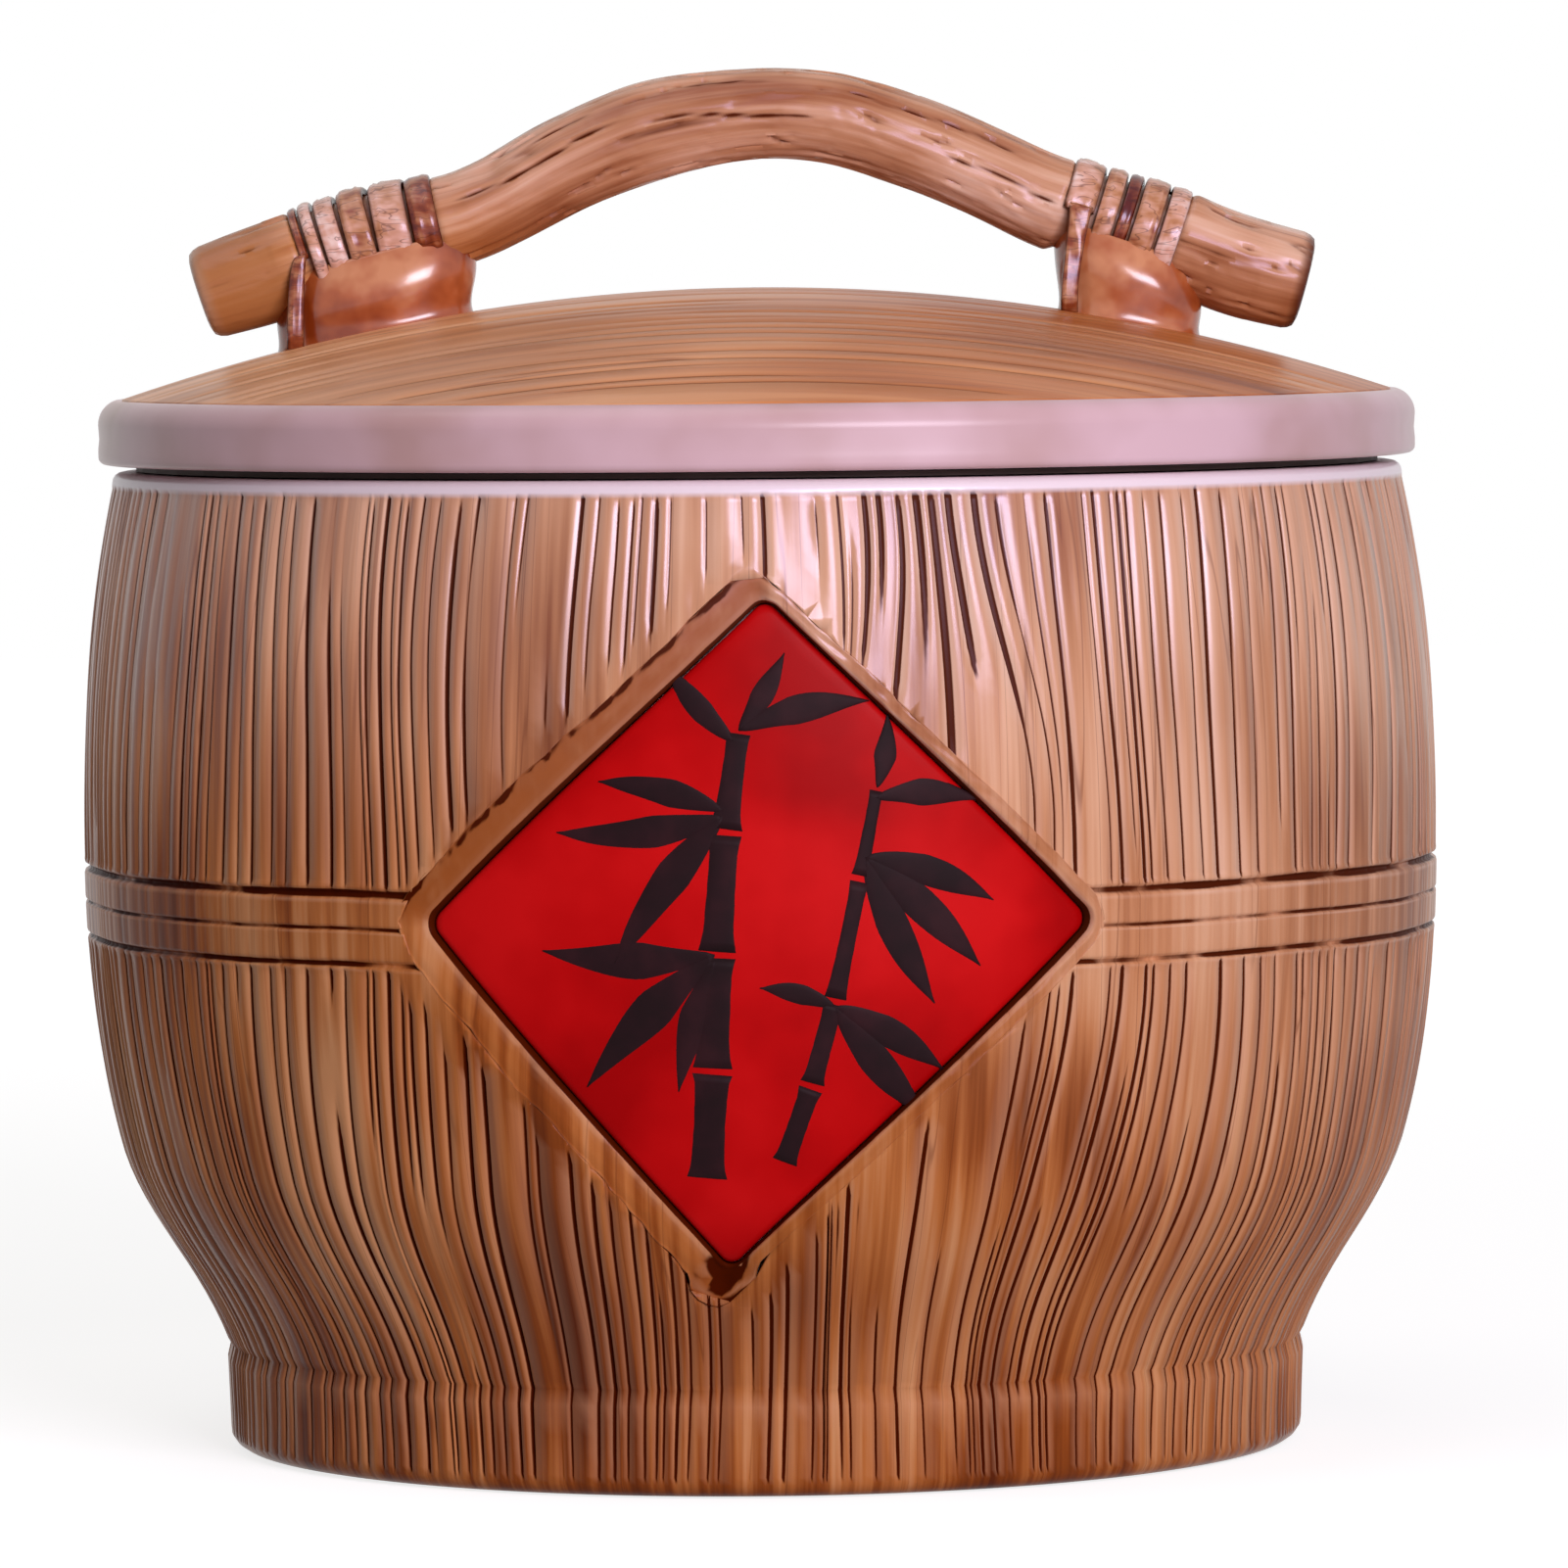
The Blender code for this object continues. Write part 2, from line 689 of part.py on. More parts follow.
def branch_stations():
    """Places along the branch: even ones, and those where the necks begin and end."""
    stations = spaced(BRANCH_LEFT + BRANCH_END_EDGE, BRANCH_RIGHT - BRANCH_END_EDGE, BRANCH_STATIONS)
    for start, end in LASHINGS:
        reach = CORD_RADIUS + CORD_GAP
        low = start - reach
        high = end + reach
        stations = [x for x in stations if x < low - 2 * NECK_EASE or x > high + 2 * NECK_EASE]
        stations += [low - NECK_EASE, low - NECK_EASE / 2, high + NECK_EASE / 2, high + NECK_EASE]
        stations += spaced(low, high, 3)
    return sorted(stations)


def branch_skin(name, grow=0.0):
    """The branch with its sawn ends' edges eased, grown on every side where that is asked."""
    rings = [branch_section(x, grow, BRANCH_SIDES) for x in branch_stations()]
    first = branch_section(BRANCH_LEFT, grow - BRANCH_END_EDGE, BRANCH_SIDES)
    last = branch_section(BRANCH_RIGHT, grow - BRANCH_END_EDGE, BRANCH_SIDES)
    return lofted(name, [first, *rings, last])


# Lashings, in the same frame as the branch


def cord_centre(x, angle):
    """The cord's middle on its helix, at an angle from the top of the branch towards +Y."""
    centre, _, above = branch_frame(x)
    radius = bark_radius(x) + CORD_CREST - CORD_RADIUS
    return centre + radius * (math.cos(angle) * above + Vector((0.0, math.sin(angle), 0.0)))


def tail_points(x, angle, lean):
    """From the dome up to the end of the helix: straight off the dome, then a smooth rise."""
    top = cord_centre(x, angle)
    _, _, above = branch_frame(x)
    foot_x = x + lean
    foot_y = top.y + math.copysign(TAIL_SPREAD, top.y)
    normal = dome_normal(foot_x, foot_y)
    surface = Vector((foot_x, foot_y, dome_height(math.hypot(foot_x, foot_y)) - DOME_TOP))
    foot = surface + normal * GAP
    start = foot + normal * 2 * CORD_RADIUS
    pull = (top - start).length
    points = [foot]
    for i in range(TAIL_POINTS):
        t = i / TAIL_POINTS
        point = (2 * t**3 - 3 * t**2 + 1) * start + (3 * t**2 - 2 * t**3) * top
        point += (t**3 - 2 * t**2 + t) * pull * normal + (t**3 - t**2) * pull * above
        points.append(point)
    return points


def lashing_points(span, turns):
    """The whole cord: front tail, the helix over the branch, and the tail behind."""
    start, end = span
    first_angle = -math.pi / 2
    steps = round(turns * CORD_POINTS)
    helix = []
    for i in range(steps + 1):
        angle = first_angle + math.tau * turns * i / steps
        helix.append(cord_centre(start + (end - start) * i / steps, angle))
    rise = tail_points(start, first_angle, -TAIL_LEAN)
    fall = tail_points(end, -first_angle, TAIL_LEAN)
    return rise + helix + fall[::-1]


def least_gap(points, skip):
    """Least clear distance between points of one cord that lie more than skip points apart."""
    nearest = min(
        (points[i] - points[j]).length
        for i in range(len(points))
        for j in range(i + skip, len(points))
    )
    return nearest - 2 * CORD_RADIUS


def cord(name, points, radius, bevel_resolution):
    curve = bpy.data.curves.new(name, "CURVE")
    curve.dimensions = "3D"
    curve.bevel_depth = radius
    curve.bevel_resolution = bevel_resolution
    curve.use_fill_caps = True
    spline = curve.splines.new("POLY")
    spline.points.add(len(points) - 1)
    for spot, point in zip(spline.points, points):
        spot.co = (*point, 1.0)
    spline.use_smooth = True
    return bpy.data.objects.new(name, curve)


def add_lashing(side, span, turns, parts, carrier, place):
    points = lashing_points(span, turns)
    gap_mm = 1000 * least_gap(points, CORD_POINTS // 2)
    print(f"{side}_binding: {turns} turns, least gap to itself {gap_mm:.2f} mm")
    return put(cord(side + "_binding", points, CORD_RADIUS, 1), parts, carrier, place)


# Lugs


def lug_ring(lug_x, width, share, grow):
    """One ring of a lug: a softened box in plan, sheared to the branch's slope at the top."""
    centre, along, _ = branch_frame(lug_x)
    slope = along.z / along.x
    root = dome_height(abs(lug_x)) - DOME_TOP - LUG_ROOT
    ring = []
    for i in range(LUG_SIDES):
        angle = math.tau * i / LUG_SIDES
        across = math.copysign(abs(math.cos(angle)) ** (2 / LUG_SQUARENESS), math.cos(angle))
        deep = math.copysign(abs(math.sin(angle)) ** (2 / LUG_SQUARENESS), math.sin(angle))
        x = (width / 2 + grow) * across
        y = (LUG_DEPTH / 2 + grow) * deep
        top = centre.z - LUG_SADDLE + slope * x
        ring.append(Vector((lug_x + x, y, root + share * (top - root))))
    return ring


def lug_body(name, lug_x, width):
    """A waisted post with its upper edge eased over two steps."""
    shares = spaced(0.0, LUG_EASE_FROM, 4)
    rows = [(share, LUG_FLARE * (2.0 * share - 1.0) ** 2) for share in shares]
    last = rows[-1][1]
    rows += [(LUG_EASE_TO, last - LUG_EDGE / 4), (1.0, last - LUG_EDGE)]
    return lofted(name, [lug_ring(lug_x, width, share, grow) for share, grow in rows])


def add_lug(side, lug_x, width, span, turns, parts, cutters, carrier, place, tools):
    """A post between dome and branch, hollowed for both, for the cord and for its tails."""
    name = side + "_lug"
    lug = put(lug_body(name, lug_x, width), parts, carrier, place)
    for tool in tools:
        cut(lug, tool)
    start, end = span
    reach = CORD_RADIUS + CORD_GAP
    saddle = [
        round_section(x, bark_radius(x) + CORD_CREST + CORD_GAP, LUG_SIDES)
        for x in spaced(start - reach, end + reach, SADDLE_STEPS)
    ]
    cut(lug, cutter(lofted(name + "_saddle_cutter", saddle), cutters, carrier, place))
    tails = (
        ("front", tail_points(start, -math.pi / 2, -TAIL_LEAN), cord_centre(start, -math.pi / 2)),
        ("back", tail_points(end, math.pi / 2, TAIL_LEAN), cord_centre(end, math.pi / 2)),
    )
    for label, points, top in tails:
        sunk = points[0] - (points[1] - points[0])
        raised = top + (top - points[-1])
        tube = cord(f"{name}_{label}_tail_cutter", [sunk, *points, top, raised], reach, 2)
        cut(lug, cutter(settled(tube), cutters, carrier, place))
    return lug


def dome_cutter_outline():
    """The dome's outside raised by the clearance, closed well below it."""
    dome = [(r, dome_height(r) - DOME_TOP + GAP) for r in spaced(0.0, DOME_RADIUS, DOME_STEPS)]
    return dome + [(DOME_RADIUS, -DOME_TOP - LUG_ROOT), (0.0, -DOME_TOP - LUG_ROOT)]


def add_handle(parts, cutters, lid):
    place = (0.0, 0.0, DOME_TOP)
    branch = put(branch_skin("handle_branch"), parts, lid, place)
    dome_tool = cutter(turned("dome_cutter", dome_cutter_outline()), cutters, lid, place)
    branch_tool = cutter(branch_skin("branch_cutter", GAP), cutters, lid, place)
    sides = (
        ("left", LEFT_LUG_X * HANDLE_SPREAD, LEFT_LUG_WIDTH, LASHINGS[0], LEFT_LASHING_TURNS),
        ("right", RIGHT_LUG_X * HANDLE_SPREAD, RIGHT_LUG_WIDTH, LASHINGS[1], RIGHT_LASHING_TURNS),
    )
    made = [branch]
    for side, lug_x, width, span, turns in sides:
        tools = (dome_tool, branch_tool)
        made.append(add_lug(side, lug_x, width, span, turns, parts, cutters, lid, place, tools))
        made.append(add_lashing(side, span, turns, parts, lid, place))
    return made


def finish(items, material):
    for item in items:
        item.data.materials.clear()
        item.data.materials.append(material)


def main():
    clear_scene()
    parts = new_collection("storage_jar")
    cutters = new_collection("cutters")

    pot = add_pot(parts, cutters)
    plaque = add_plaque(parts)

    lift_axis = put(bpy.data.objects.new("lid_axis", None), parts, None, (0.0, 0.0, SEAL_HEIGHT))
    seal = put(turned("lid_seal_ring", seal_outline(), closed=True), parts, lift_axis)
    lid_place = (0.0, 0.0, LID_HEIGHT - SEAL_HEIGHT)
    lid = put(turned("lid", lid_outline()), parts, lift_axis, lid_place)
    cut(lid, cutter(grain_cutter(), cutters, lid))
    branch, left_lug, left_binding, right_lug, right_binding = add_handle(parts, cutters, lid)

    finish([pot], new_material("carved_glaze", (0.42, 0.20, 0.12), 0.28))
    finish([plaque], new_material("red_glaze", (0.68, 0.015, 0.015), 0.18))
    finish([seal], new_material("silicone", (0.75, 0.72, 0.70), 0.55))
    finish([lid], new_material("lid_glaze", (0.45, 0.22, 0.12), 0.25))
    finish([branch], new_material("branch_glaze", (0.40, 0.18, 0.10), 0.28))
    finish([left_lug, right_lug], new_material("lug_glaze", (0.36, 0.13, 0.06), 0.15))
    finish([left_binding, right_binding], new_material("cord_glaze", (0.28, 0.09, 0.06), 0.30))


main()
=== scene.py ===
# Stoneware food jar in the form of a coopered tub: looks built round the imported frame.
# Everything is in metres, in the frame's own place, with the diamond facing -Y.

import math
import random
from contextlib import contextmanager

import bmesh
import bpy
from mathutils import Matrix, Vector, noise


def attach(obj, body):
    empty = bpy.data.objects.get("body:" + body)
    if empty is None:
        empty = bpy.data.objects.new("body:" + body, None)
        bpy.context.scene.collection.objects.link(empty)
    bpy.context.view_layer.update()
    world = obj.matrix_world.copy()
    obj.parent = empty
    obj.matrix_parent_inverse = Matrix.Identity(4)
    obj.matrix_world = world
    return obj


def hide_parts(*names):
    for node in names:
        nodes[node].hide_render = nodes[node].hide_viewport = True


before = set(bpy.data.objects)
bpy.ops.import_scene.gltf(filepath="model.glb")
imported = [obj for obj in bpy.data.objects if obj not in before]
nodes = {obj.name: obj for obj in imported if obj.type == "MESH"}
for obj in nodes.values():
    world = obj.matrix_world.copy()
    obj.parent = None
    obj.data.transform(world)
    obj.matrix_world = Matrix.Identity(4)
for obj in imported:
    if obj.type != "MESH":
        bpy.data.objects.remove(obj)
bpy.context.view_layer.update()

print("stage: frame loaded")

joinReach = {"mesh": 0.000005, "tree": 0.000004}  # points nearer than this become one


# Small helpers

def hexToLinear(code):
    channels = [int(code[i:i + 2], 16) / 255 for i in (1, 3, 5)]
    return tuple(c / 12.92 if c <= 0.04045 else ((c + 0.055) / 1.055) ** 2.4 for c in channels) + (1.0,)


def fill(node, links):
    # Fills or links the inputs that are named or numbered in links
    for key, value in links.items():
        usable = [s for s in node.inputs if s.enabled]
        socket = usable[key] if isinstance(key, int) else next(s for s in usable if s.name == key)
        if isinstance(value, bpy.types.Node):
            value = Field(value)
        if isinstance(value, Field):
            node.id_data.links.new(value.socket, socket)
        else:
            socket.default_value = value


def addNode(tree, kind, links=None, **settings):
    node = tree.nodes.new(kind)
    for name, value in settings.items():
        setattr(node, name, value)
    fill(node, links or {})
    return node


class Field:
    # An output of a node, by name or the first in use; sums and products of fields add Math nodes

    def __init__(self, node, name=None):
        self.tree = node.id_data
        self.socket = next(s for s in node.outputs if s.enabled and name in (None, s.name))

    def math(self, operation, *others):
        links = dict(enumerate((self,) + others))
        return Field(addNode(self.tree, "ShaderNodeMath", links, operation=operation))

    def ranged(self, low, high, first=0.0, last=1.0, kind="SMOOTHSTEP"):
        # From first to last as the field goes from low to high
        links = {"Value": self, "From Min": low, "From Max": high, "To Min": first, "To Max": last}
        return Field(addNode(self.tree, "ShaderNodeMapRange", links, interpolation_type=kind))

    def __add__(self, other):
        return self.math("ADD", other)

    def __sub__(self, other):
        return self.math("SUBTRACT", other)

    def __rsub__(self, other):
        return self * -1.0 + other

    def __mul__(self, other):
        return self.math("MULTIPLY", other)

    def __truediv__(self, other):
        return self.math("DIVIDE", other)

    __radd__ = __add__
    __rmul__ = __mul__


def lineWeights(t):
    # Weights of the start, its slope, the end and its slope on a smooth line
    return 2 * t ** 3 - 3 * t ** 2 + 1, t ** 3 - 2 * t ** 2 + t, 3 * t ** 2 - 2 * t ** 3, t ** 3 - t ** 2


def smoothLine(knots, at):
    # Value on the smooth line through (place, value, slope) knots
    for low, high in zip(knots, knots[1:]):
        if at <= high[0]:
            break
    span = high[0] - low[0]
    start, leaving, end, arriving = lineWeights((at - low[0]) / span)
    return start * low[1] + leaving * span * low[2] + end * high[1] + arriving * span * high[2]


def slopeOf(line, at, step):
    return (line(at + step) - line(at - step)) / (2 * step)


def eased(low, high, at):
    t = min(max((at - low) / (high - low), 0.0), 1.0)
    return t * t * (3.0 - 2.0 * t)


def spaced(low, high, steps):
    return [low + (high - low) * i / steps for i in range(steps + 1)]


def arcPoints(radius, height, size, start, end, steps):
    turns = [math.radians(a) for a in spaced(start, end, steps)]
    return [(radius + size * math.cos(a), height + size * math.sin(a)) for a in turns]


def noiseAt(x, y, z):
    return noise.noise(Vector((x, y, z)))


def unwound(turn, home):
    # The turn counted on from a near one, so that a face over the seam takes one side's count
    return turn - math.tau if turn - home > math.pi else turn + math.tau if home - turn > math.pi else turn


def linked(name, data):
    item = bpy.data.objects.new(name, data)
    bpy.context.scene.collection.objects.link(item)
    return item


def meshObject(name, verts, faces, material=None, marks=(), edges=()):
    # With marks, each point comes first in a row that goes on with a number or a vector for every mark
    verts, *columns = zip(*verts) if marks else (verts,)
    mesh = bpy.data.meshes.new(name)
    mesh.from_pydata([tuple(v) for v in verts], edges, faces)
    for label, values in zip(marks, columns):
        vector = isinstance(values[0], Vector)
        layer = mesh.attributes.new(label, "FLOAT_VECTOR" if vector else "FLOAT", "POINT")
        flat = [part for value in values for part in value] if vector else values
        layer.data.foreach_set("vector" if vector else "value", flat)
    if material:
        mesh.materials.append(material)
    mesh.shade_smooth()
    return linked(name, mesh)


def pathObject(name, rows, marks):
    # A path of points for a node tree to sweep along
    return meshObject(name, rows, [], marks=marks, edges=[(i, i + 1) for i in range(len(rows) - 1)])


@contextmanager
def openMesh(item):
    work = bmesh.new()
    work.from_mesh(item.data)
    yield work
    work.to_mesh(item.data)
    work.free()


def tidyNormals(item):
    # Joins doubled points and turns every face of a closed shell outwards
    with openMesh(item) as work:
        bmesh.ops.remove_doubles(work, verts=work.verts[:], dist=joinReach["mesh"])
        work.normal_update()
        bmesh.ops.recalc_face_normals(work, faces=work.faces[:])


def storeUv(item, place):
    # A UV map from a function of a corner's face and point, for patterns that follow the form
    layer = item.data.uv_layers.new(name="follow")
    for polygon in item.data.polygons:
        for corner in polygon.loop_indices:
            point = item.data.vertices[item.data.loops[corner].vertex_index].co
            layer.data[corner].uv = place(polygon, point)


def lofted(name, skins, material, marks=(), caps=True):
    # One closed mesh of skins, each through rings of as many points
    verts, faces = [], []
    for rings in skins:
        first, count = len(verts), len(rings[0])
        verts += [point for ring in rings for point in ring]
        for i in range(first, len(verts) - count, count):
            for j in range(count):
                k = (j + 1) % count
                faces.append((i + j, i + k, i + count + k, i + count + j))
        if caps:
            faces += [tuple(range(first, first + count)), tuple(range(len(verts) - count, len(verts)))]
    item = meshObject(name, verts, faces, material, marks)
    tidyNormals(item)
    return item


# Node trees

def newTree(name, inputs, outputs=("Geometry",)):
    # A tree with an input for each named value, None for geometry; returns it, its inputs as fields
    # and its output node
    tree = bpy.data.node_groups.new(name, "GeometryNodeTree")
    for label in outputs:
        kind = "Geometry" if label == "Geometry" else "Float"
        tree.interface.new_socket(label, in_out="OUTPUT", socket_type="NodeSocket" + kind)
    kinds = {int: "Int", float: "Float", type(None): "Geometry"}
    for label, value in inputs.items():
        kind = "NodeSocket" + kinds.get(type(value), "Material")
        socket = tree.interface.new_socket(label, in_out="INPUT", socket_type=kind)
        if value is not None:
            socket.default_value = value
    source = addNode(tree, "NodeGroupInput")
    return tree, {label: Field(source, label) for label in inputs}, addNode(tree, "NodeGroupOutput")


def finishTree(tree, shape, place, stored, glaze, result):
    # The grid's points in place with their attributes, as joined, smooth, real geometry in its glaze
    for label, value in stored.items():
        shape = addNode(tree, "GeometryNodeStoreNamedAttribute", {"Geometry": shape, "Name": label,
                        "Value": value}, data_type="FLOAT", domain="POINT")
    for kind, links in (("SetPosition", {"Position": place}),
                        ("MergeByDistance", {"Distance": joinReach["tree"]}),
                        ("SetShadeSmooth", {"Shade Smooth": True}), ("RealizeInstances", {}),
                        ("SetMaterial", {"Material": glaze})):
        shape = addNode(tree, "GeometryNode" + kind, {"Geometry": shape, **links})
    fill(result, {0: shape})
    return tree


def settled(name, item, tree, values):
    # Runs a node tree on an object and keeps the result as a plain mesh
    modifier = item.modifiers.new(tree.name, "NODES")
    modifier.node_group = tree
    for socket in tree.interface.items_tree:
        if socket.in_out == "INPUT" and socket.name in values:
            modifier[socket.identifier] = values[socket.name]
    item.update_tag()
    graph = bpy.context.evaluated_depsgraph_get()
    mesh = bpy.data.meshes.new_from_object(item.evaluated_get(graph))
    mesh.name = name
    item.modifiers.remove(modifier)
    bpy.data.objects.remove(item)
    return linked(name, mesh)


def pickBy(index, *values):
    # The value whose number in the list is the index
    switch = addNode(index.tree, "GeometryNodeIndexSwitch", data_type="FLOAT")
    while len(switch.index_switch_items) < len(values):
        switch.index_switch_items.new()
    fill(switch, dict(enumerate((index,) + values)))
    return Field(switch)


def numberedGrid(tree, columns, rows):
    # A grid's mesh with its column and row numbers
    grid = addNode(tree, "GeometryNodeMeshGrid", {"Size X": 1.0, "Size Y": 1.0, "Vertices X": columns,
                   "Vertices Y": rows})
    spot = addNode(tree, "ShaderNodeSeparateXYZ", {0: addNode(tree, "GeometryNodeInputPosition")})
    column, row = (((Field(spot, label) + 0.5) * (count - 1.0)).math("ROUND")
                   for label, count in (("X", columns), ("Y", rows)))
    return grid, column, row


def sweptGrid(tree, path, columns, vectors, numbers):
    # A grid with a row for each point of a path, its numbers, and the path's own values at that point
    size = addNode(tree, "GeometryNodeAttributeDomainSize", {0: path}, component="MESH")
    grid, column, row = numberedGrid(tree, columns, Field(size, "Point Count"))
    found = {}
    for label in vectors + numbers:
        kind = "FLOAT_VECTOR" if label in vectors else "FLOAT"
        if label == "position":
            value = addNode(tree, "GeometryNodeInputPosition")
        else:
            value = addNode(tree, "GeometryNodeInputNamedAttribute", {"Name": label}, data_type=kind)
        found[label] = Field(addNode(tree, "GeometryNodeSampleIndex", {"Geometry": path, "Value": value,
                             "Index": row}, data_type=kind))
    return grid, column, row, found


def wovenNoise(parts, scale, seed, detail=1.0):
    # Noise in four dimensions over a stretched point
    tree = parts[0].tree
    spot = addNode(tree, "ShaderNodeCombineXYZ", dict(enumerate(parts)))
    spot = addNode(tree, "ShaderNodeVectorMath", {0: spot, 1: scale}, operation="MULTIPLY")
    return Field(addNode(tree, "ShaderNodeTexNoise", {"Vector": spot, "W": seed, "Scale": 1.0,
                 "Detail": detail}, noise_dimensions="4D"))


def drawn(low, high, number, seed):
    # A random value of its own for each number
    return Field(addNode(number.tree, "FunctionNodeRandomValue", {"Min": low, "Max": high, "ID": number,
                 "Seed": seed}))


# The jar's own sizes, the same as its solids

jar = {
    "belly": 0.135, "bellyHeight": 0.125, "lineFoot": 0.022,
    "baseInset": 0.0277, "baseEdge": 0.0040,
    "rimInset": 0.0070, "rimHeight": 0.194, "rimEdge": 0.0020,
    "wall": 0.008, "floor": 0.012, "fillet": 0.012,
    "ringWidth": 0.010, "ringDepth": 0.003,
    "rimLand": 0.0110, "throatDepth": 0.010, "throatTaper": 0.012,
    "hoopHeight": 0.1093, "hoopWidth": 0.0134,
    "skin": 0.0003,            # the carved skin lies this far inside the turned solid
}
rimRadius = jar["belly"] - jar["rimInset"]
baseRadius = jar["belly"] - jar["baseInset"]
# height, radius and slope of the outside, from the foot's top to the rim
potLine = (
    (jar["lineFoot"], jar["belly"] - 0.0270, 0.38), (0.040, jar["belly"] - 0.0173, 0.66),
    (0.061, jar["belly"] - 0.0066, 0.27), (jar["bellyHeight"], jar["belly"], 0.0),
    (jar["rimHeight"], rimRadius, -0.23),
)


def potRadius(height):
    return smoothLine(potLine, height)


def onBelly(arc, rise, depth):
    # A point by arc length from the front, height over the hoop's middle and depth in the wall
    height = jar["hoopHeight"] + rise
    a = arc / jar["belly"]
    radius = potRadius(height) - depth
    return Vector((radius * math.sin(a), -radius * math.cos(a), height))


# Materials

washPlaces = (0.36, 0.46, 0.54, 0.64)
meltPlaces = (0.35, 0.65)
paleGlaze = "#ecdadd"


def newMaterial(name, roughness, shine, sheen="#ffffff", coat=0.0):
    # A Principled material; shine is its specular level, sheen the colour of that reflection
    material = bpy.data.materials.new(name)
    material.use_nodes = True
    tree = material.node_tree
    shader = tree.nodes["Principled BSDF"]
    fill(shader, {"Roughness": roughness, "Specular IOR Level": shine, "Specular Tint": hexToLinear(sheen),
                  "Coat Weight": coat, "Coat Roughness": 0.08})
    return material, tree, shader


def objectPlace(tree):
    return Field(addNode(tree, "ShaderNodeTexCoord"), "Object")


def stored(tree, *labels):
    return [Field(addNode(tree, "ShaderNodeAttribute", attribute_name=label), "Fac") for label in labels]


def rampOf(factor, places, codes):
    ramp = addNode(factor.tree, "ShaderNodeValToRGB", {0: factor})
    points = ramp.color_ramp.elements
    while len(points) < len(codes):
        points.new(0.5)
    for point, place, code in zip(points, places, codes):
        point.position = place
        point.color = hexToLinear(code)
    return Field(ramp)


def plainNoise(vector, scale, detail):
    links = {"Vector": vector, "Scale": scale, "Detail": detail}
    return Field(addNode(vector.tree, "ShaderNodeTexNoise", links))


def stretchedNoise(vector, scale, detail=2.0, shift=0.0):
    # the third coordinate stays off the noise's own lattice, where flat spots would show
    mapping = addNode(vector.tree, "ShaderNodeMapping", {"Vector": vector, "Scale": scale,
                      "Location": (shift, shift, 0.37)})
    return plainNoise(Field(mapping), 1.0, detail)


def blend(share, first, second):
    first, second = (hexToLinear(c) if isinstance(c, str) else c for c in (first, second))
    links = {"Factor": share, "A": first, "B": second}
    return Field(addNode(share.tree, "ShaderNodeMix", links, data_type="RGBA"))


def bumped(height, strength, distance):
    links = {"Height": height, "Strength": strength, "Distance": distance}
    return addNode(height.tree, "ShaderNodeBump", links)


grainWork = {
    "streaks": 0.27, "bands": 0.35, "patches": 0.38,         # shares of the three in the wash
    "bandScale": (0.22, 0.6), "hairScale": 0.45, "breakScale": (0.6, 0.35),
    "breakFrom": 0.46, "breakTo": 0.60,                       # where a hair line fades and comes back
    "upper": 0.05, "dullStain": 0.9, "relief": 0.0006,
}


def grainGlaze(name, look):
    # Iron wash rubbed into carved clay under a clear glaze: dark in the cuts, streaked along the grain and
    # blotched where the wash was wiped, with the lips beside the cuts lightened as a painted highlight.
    # The darker wash climbs with height and with "lean" across the piece. Low down it is darker: on the pot
    # that is partly the wash's own colour and partly painted shade. A positive lean paints the left side
    # darker as shade, and a negative one paints it lighter as light. Low down the lips and cuts darken too.
    # The wear-and-shade mark blends in the wear colour. The grain's run comes from the "follow" map, in
    # metres; hair lines are the contours of noise drawn out along it.
    material, tree, shader = newMaterial(name, look["roughness"], look["shine"], look["sheen"])
    follow, place = Field(addNode(tree, "ShaderNodeUVMap", uv_map="follow")), objectPlace(tree)
    parts = addNode(tree, "ShaderNodeSeparateXYZ", {0: place})
    height, sideways = Field(parts, "Z"), Field(parts, "X")
    wearAndShade, lip, groove, pale = stored(tree, "wearAndShade", "lip", "groove", "pale")
    across, along = look["streak"]
    streaks = stretchedNoise(follow, (1 / across, 1 / along, 1.0), 3.0)
    wide, long = grainWork["bandScale"]
    bands = stretchedNoise(follow, (wide / across, long / along, 1.0), 2.0, 4.0)
    patches = plainNoise(place, 1 / look["patch"], 1.5)
    mixed = streaks * grainWork["streaks"] + bands * grainWork["bands"] + patches * grainWork["patches"]
    # rise is height plus lean across the piece. It paints shade low down, along with the wash's own darker
    # colour there, and it paints the left side darker or lighter by the sign of lean.
    rise = (height + sideways * look["lean"]).ranged(look["toneFrom"], look["toneTo"])
    tone = blend(rise, rampOf(mixed, washPlaces, look["washLow"]), rampOf(mixed, washPlaces, look["wash"]))
    # the wear-and-shade mark: wear on the branch's stub, painted shade on the diamond's upper left border
    tone = blend(wearAndShade, tone, look["wearAndShade"])
    # a painted highlight on the lips beside the cuts
    tone = blend(lip * look["lipShare"], tone, blend(rise, look["lipLow"], look["lip"]))
    wide, long = grainWork["breakScale"]
    for scale, width, shift in look["hairs"]:
        contour = stretchedNoise(follow, (1 / scale, grainWork["hairScale"] / along, 1.0), 0.0, shift) - 0.5
        broken = stretchedNoise(follow, (wide / scale, long / along, 1.0), 0.0, shift + 5.0)
        broken = broken.ranged(grainWork["breakFrom"], grainWork["breakTo"])
        hair = contour.math("ABSOLUTE").ranged(width, 0.0) * broken
        tone = blend(hair * (1.0 - wearAndShade) * look["hairShare"], tone, look["hair"])
    stain = groove.ranged(look["stainFrom"], look["stainTo"])
    tone = blend(stain, tone, blend(rise, look["stainLow"], look["stain"]))
    tone = blend(pale, tone, paleGlaze)
    upper = height.ranged(look["toneFrom"] + grainWork["upper"], look["toneTo"])
    gloss = stain * -grainWork["dullStain"] + 1.0
    gloss = gloss * (upper * (1.0 - look["shineLow"]) + look["shineLow"]) * look["shine"]
    relief = bumped(mixed, look["bump"], grainWork["relief"])
    fill(shader, {"Base Color": tone, "Specular IOR Level": gloss, "Normal": relief})
    return material
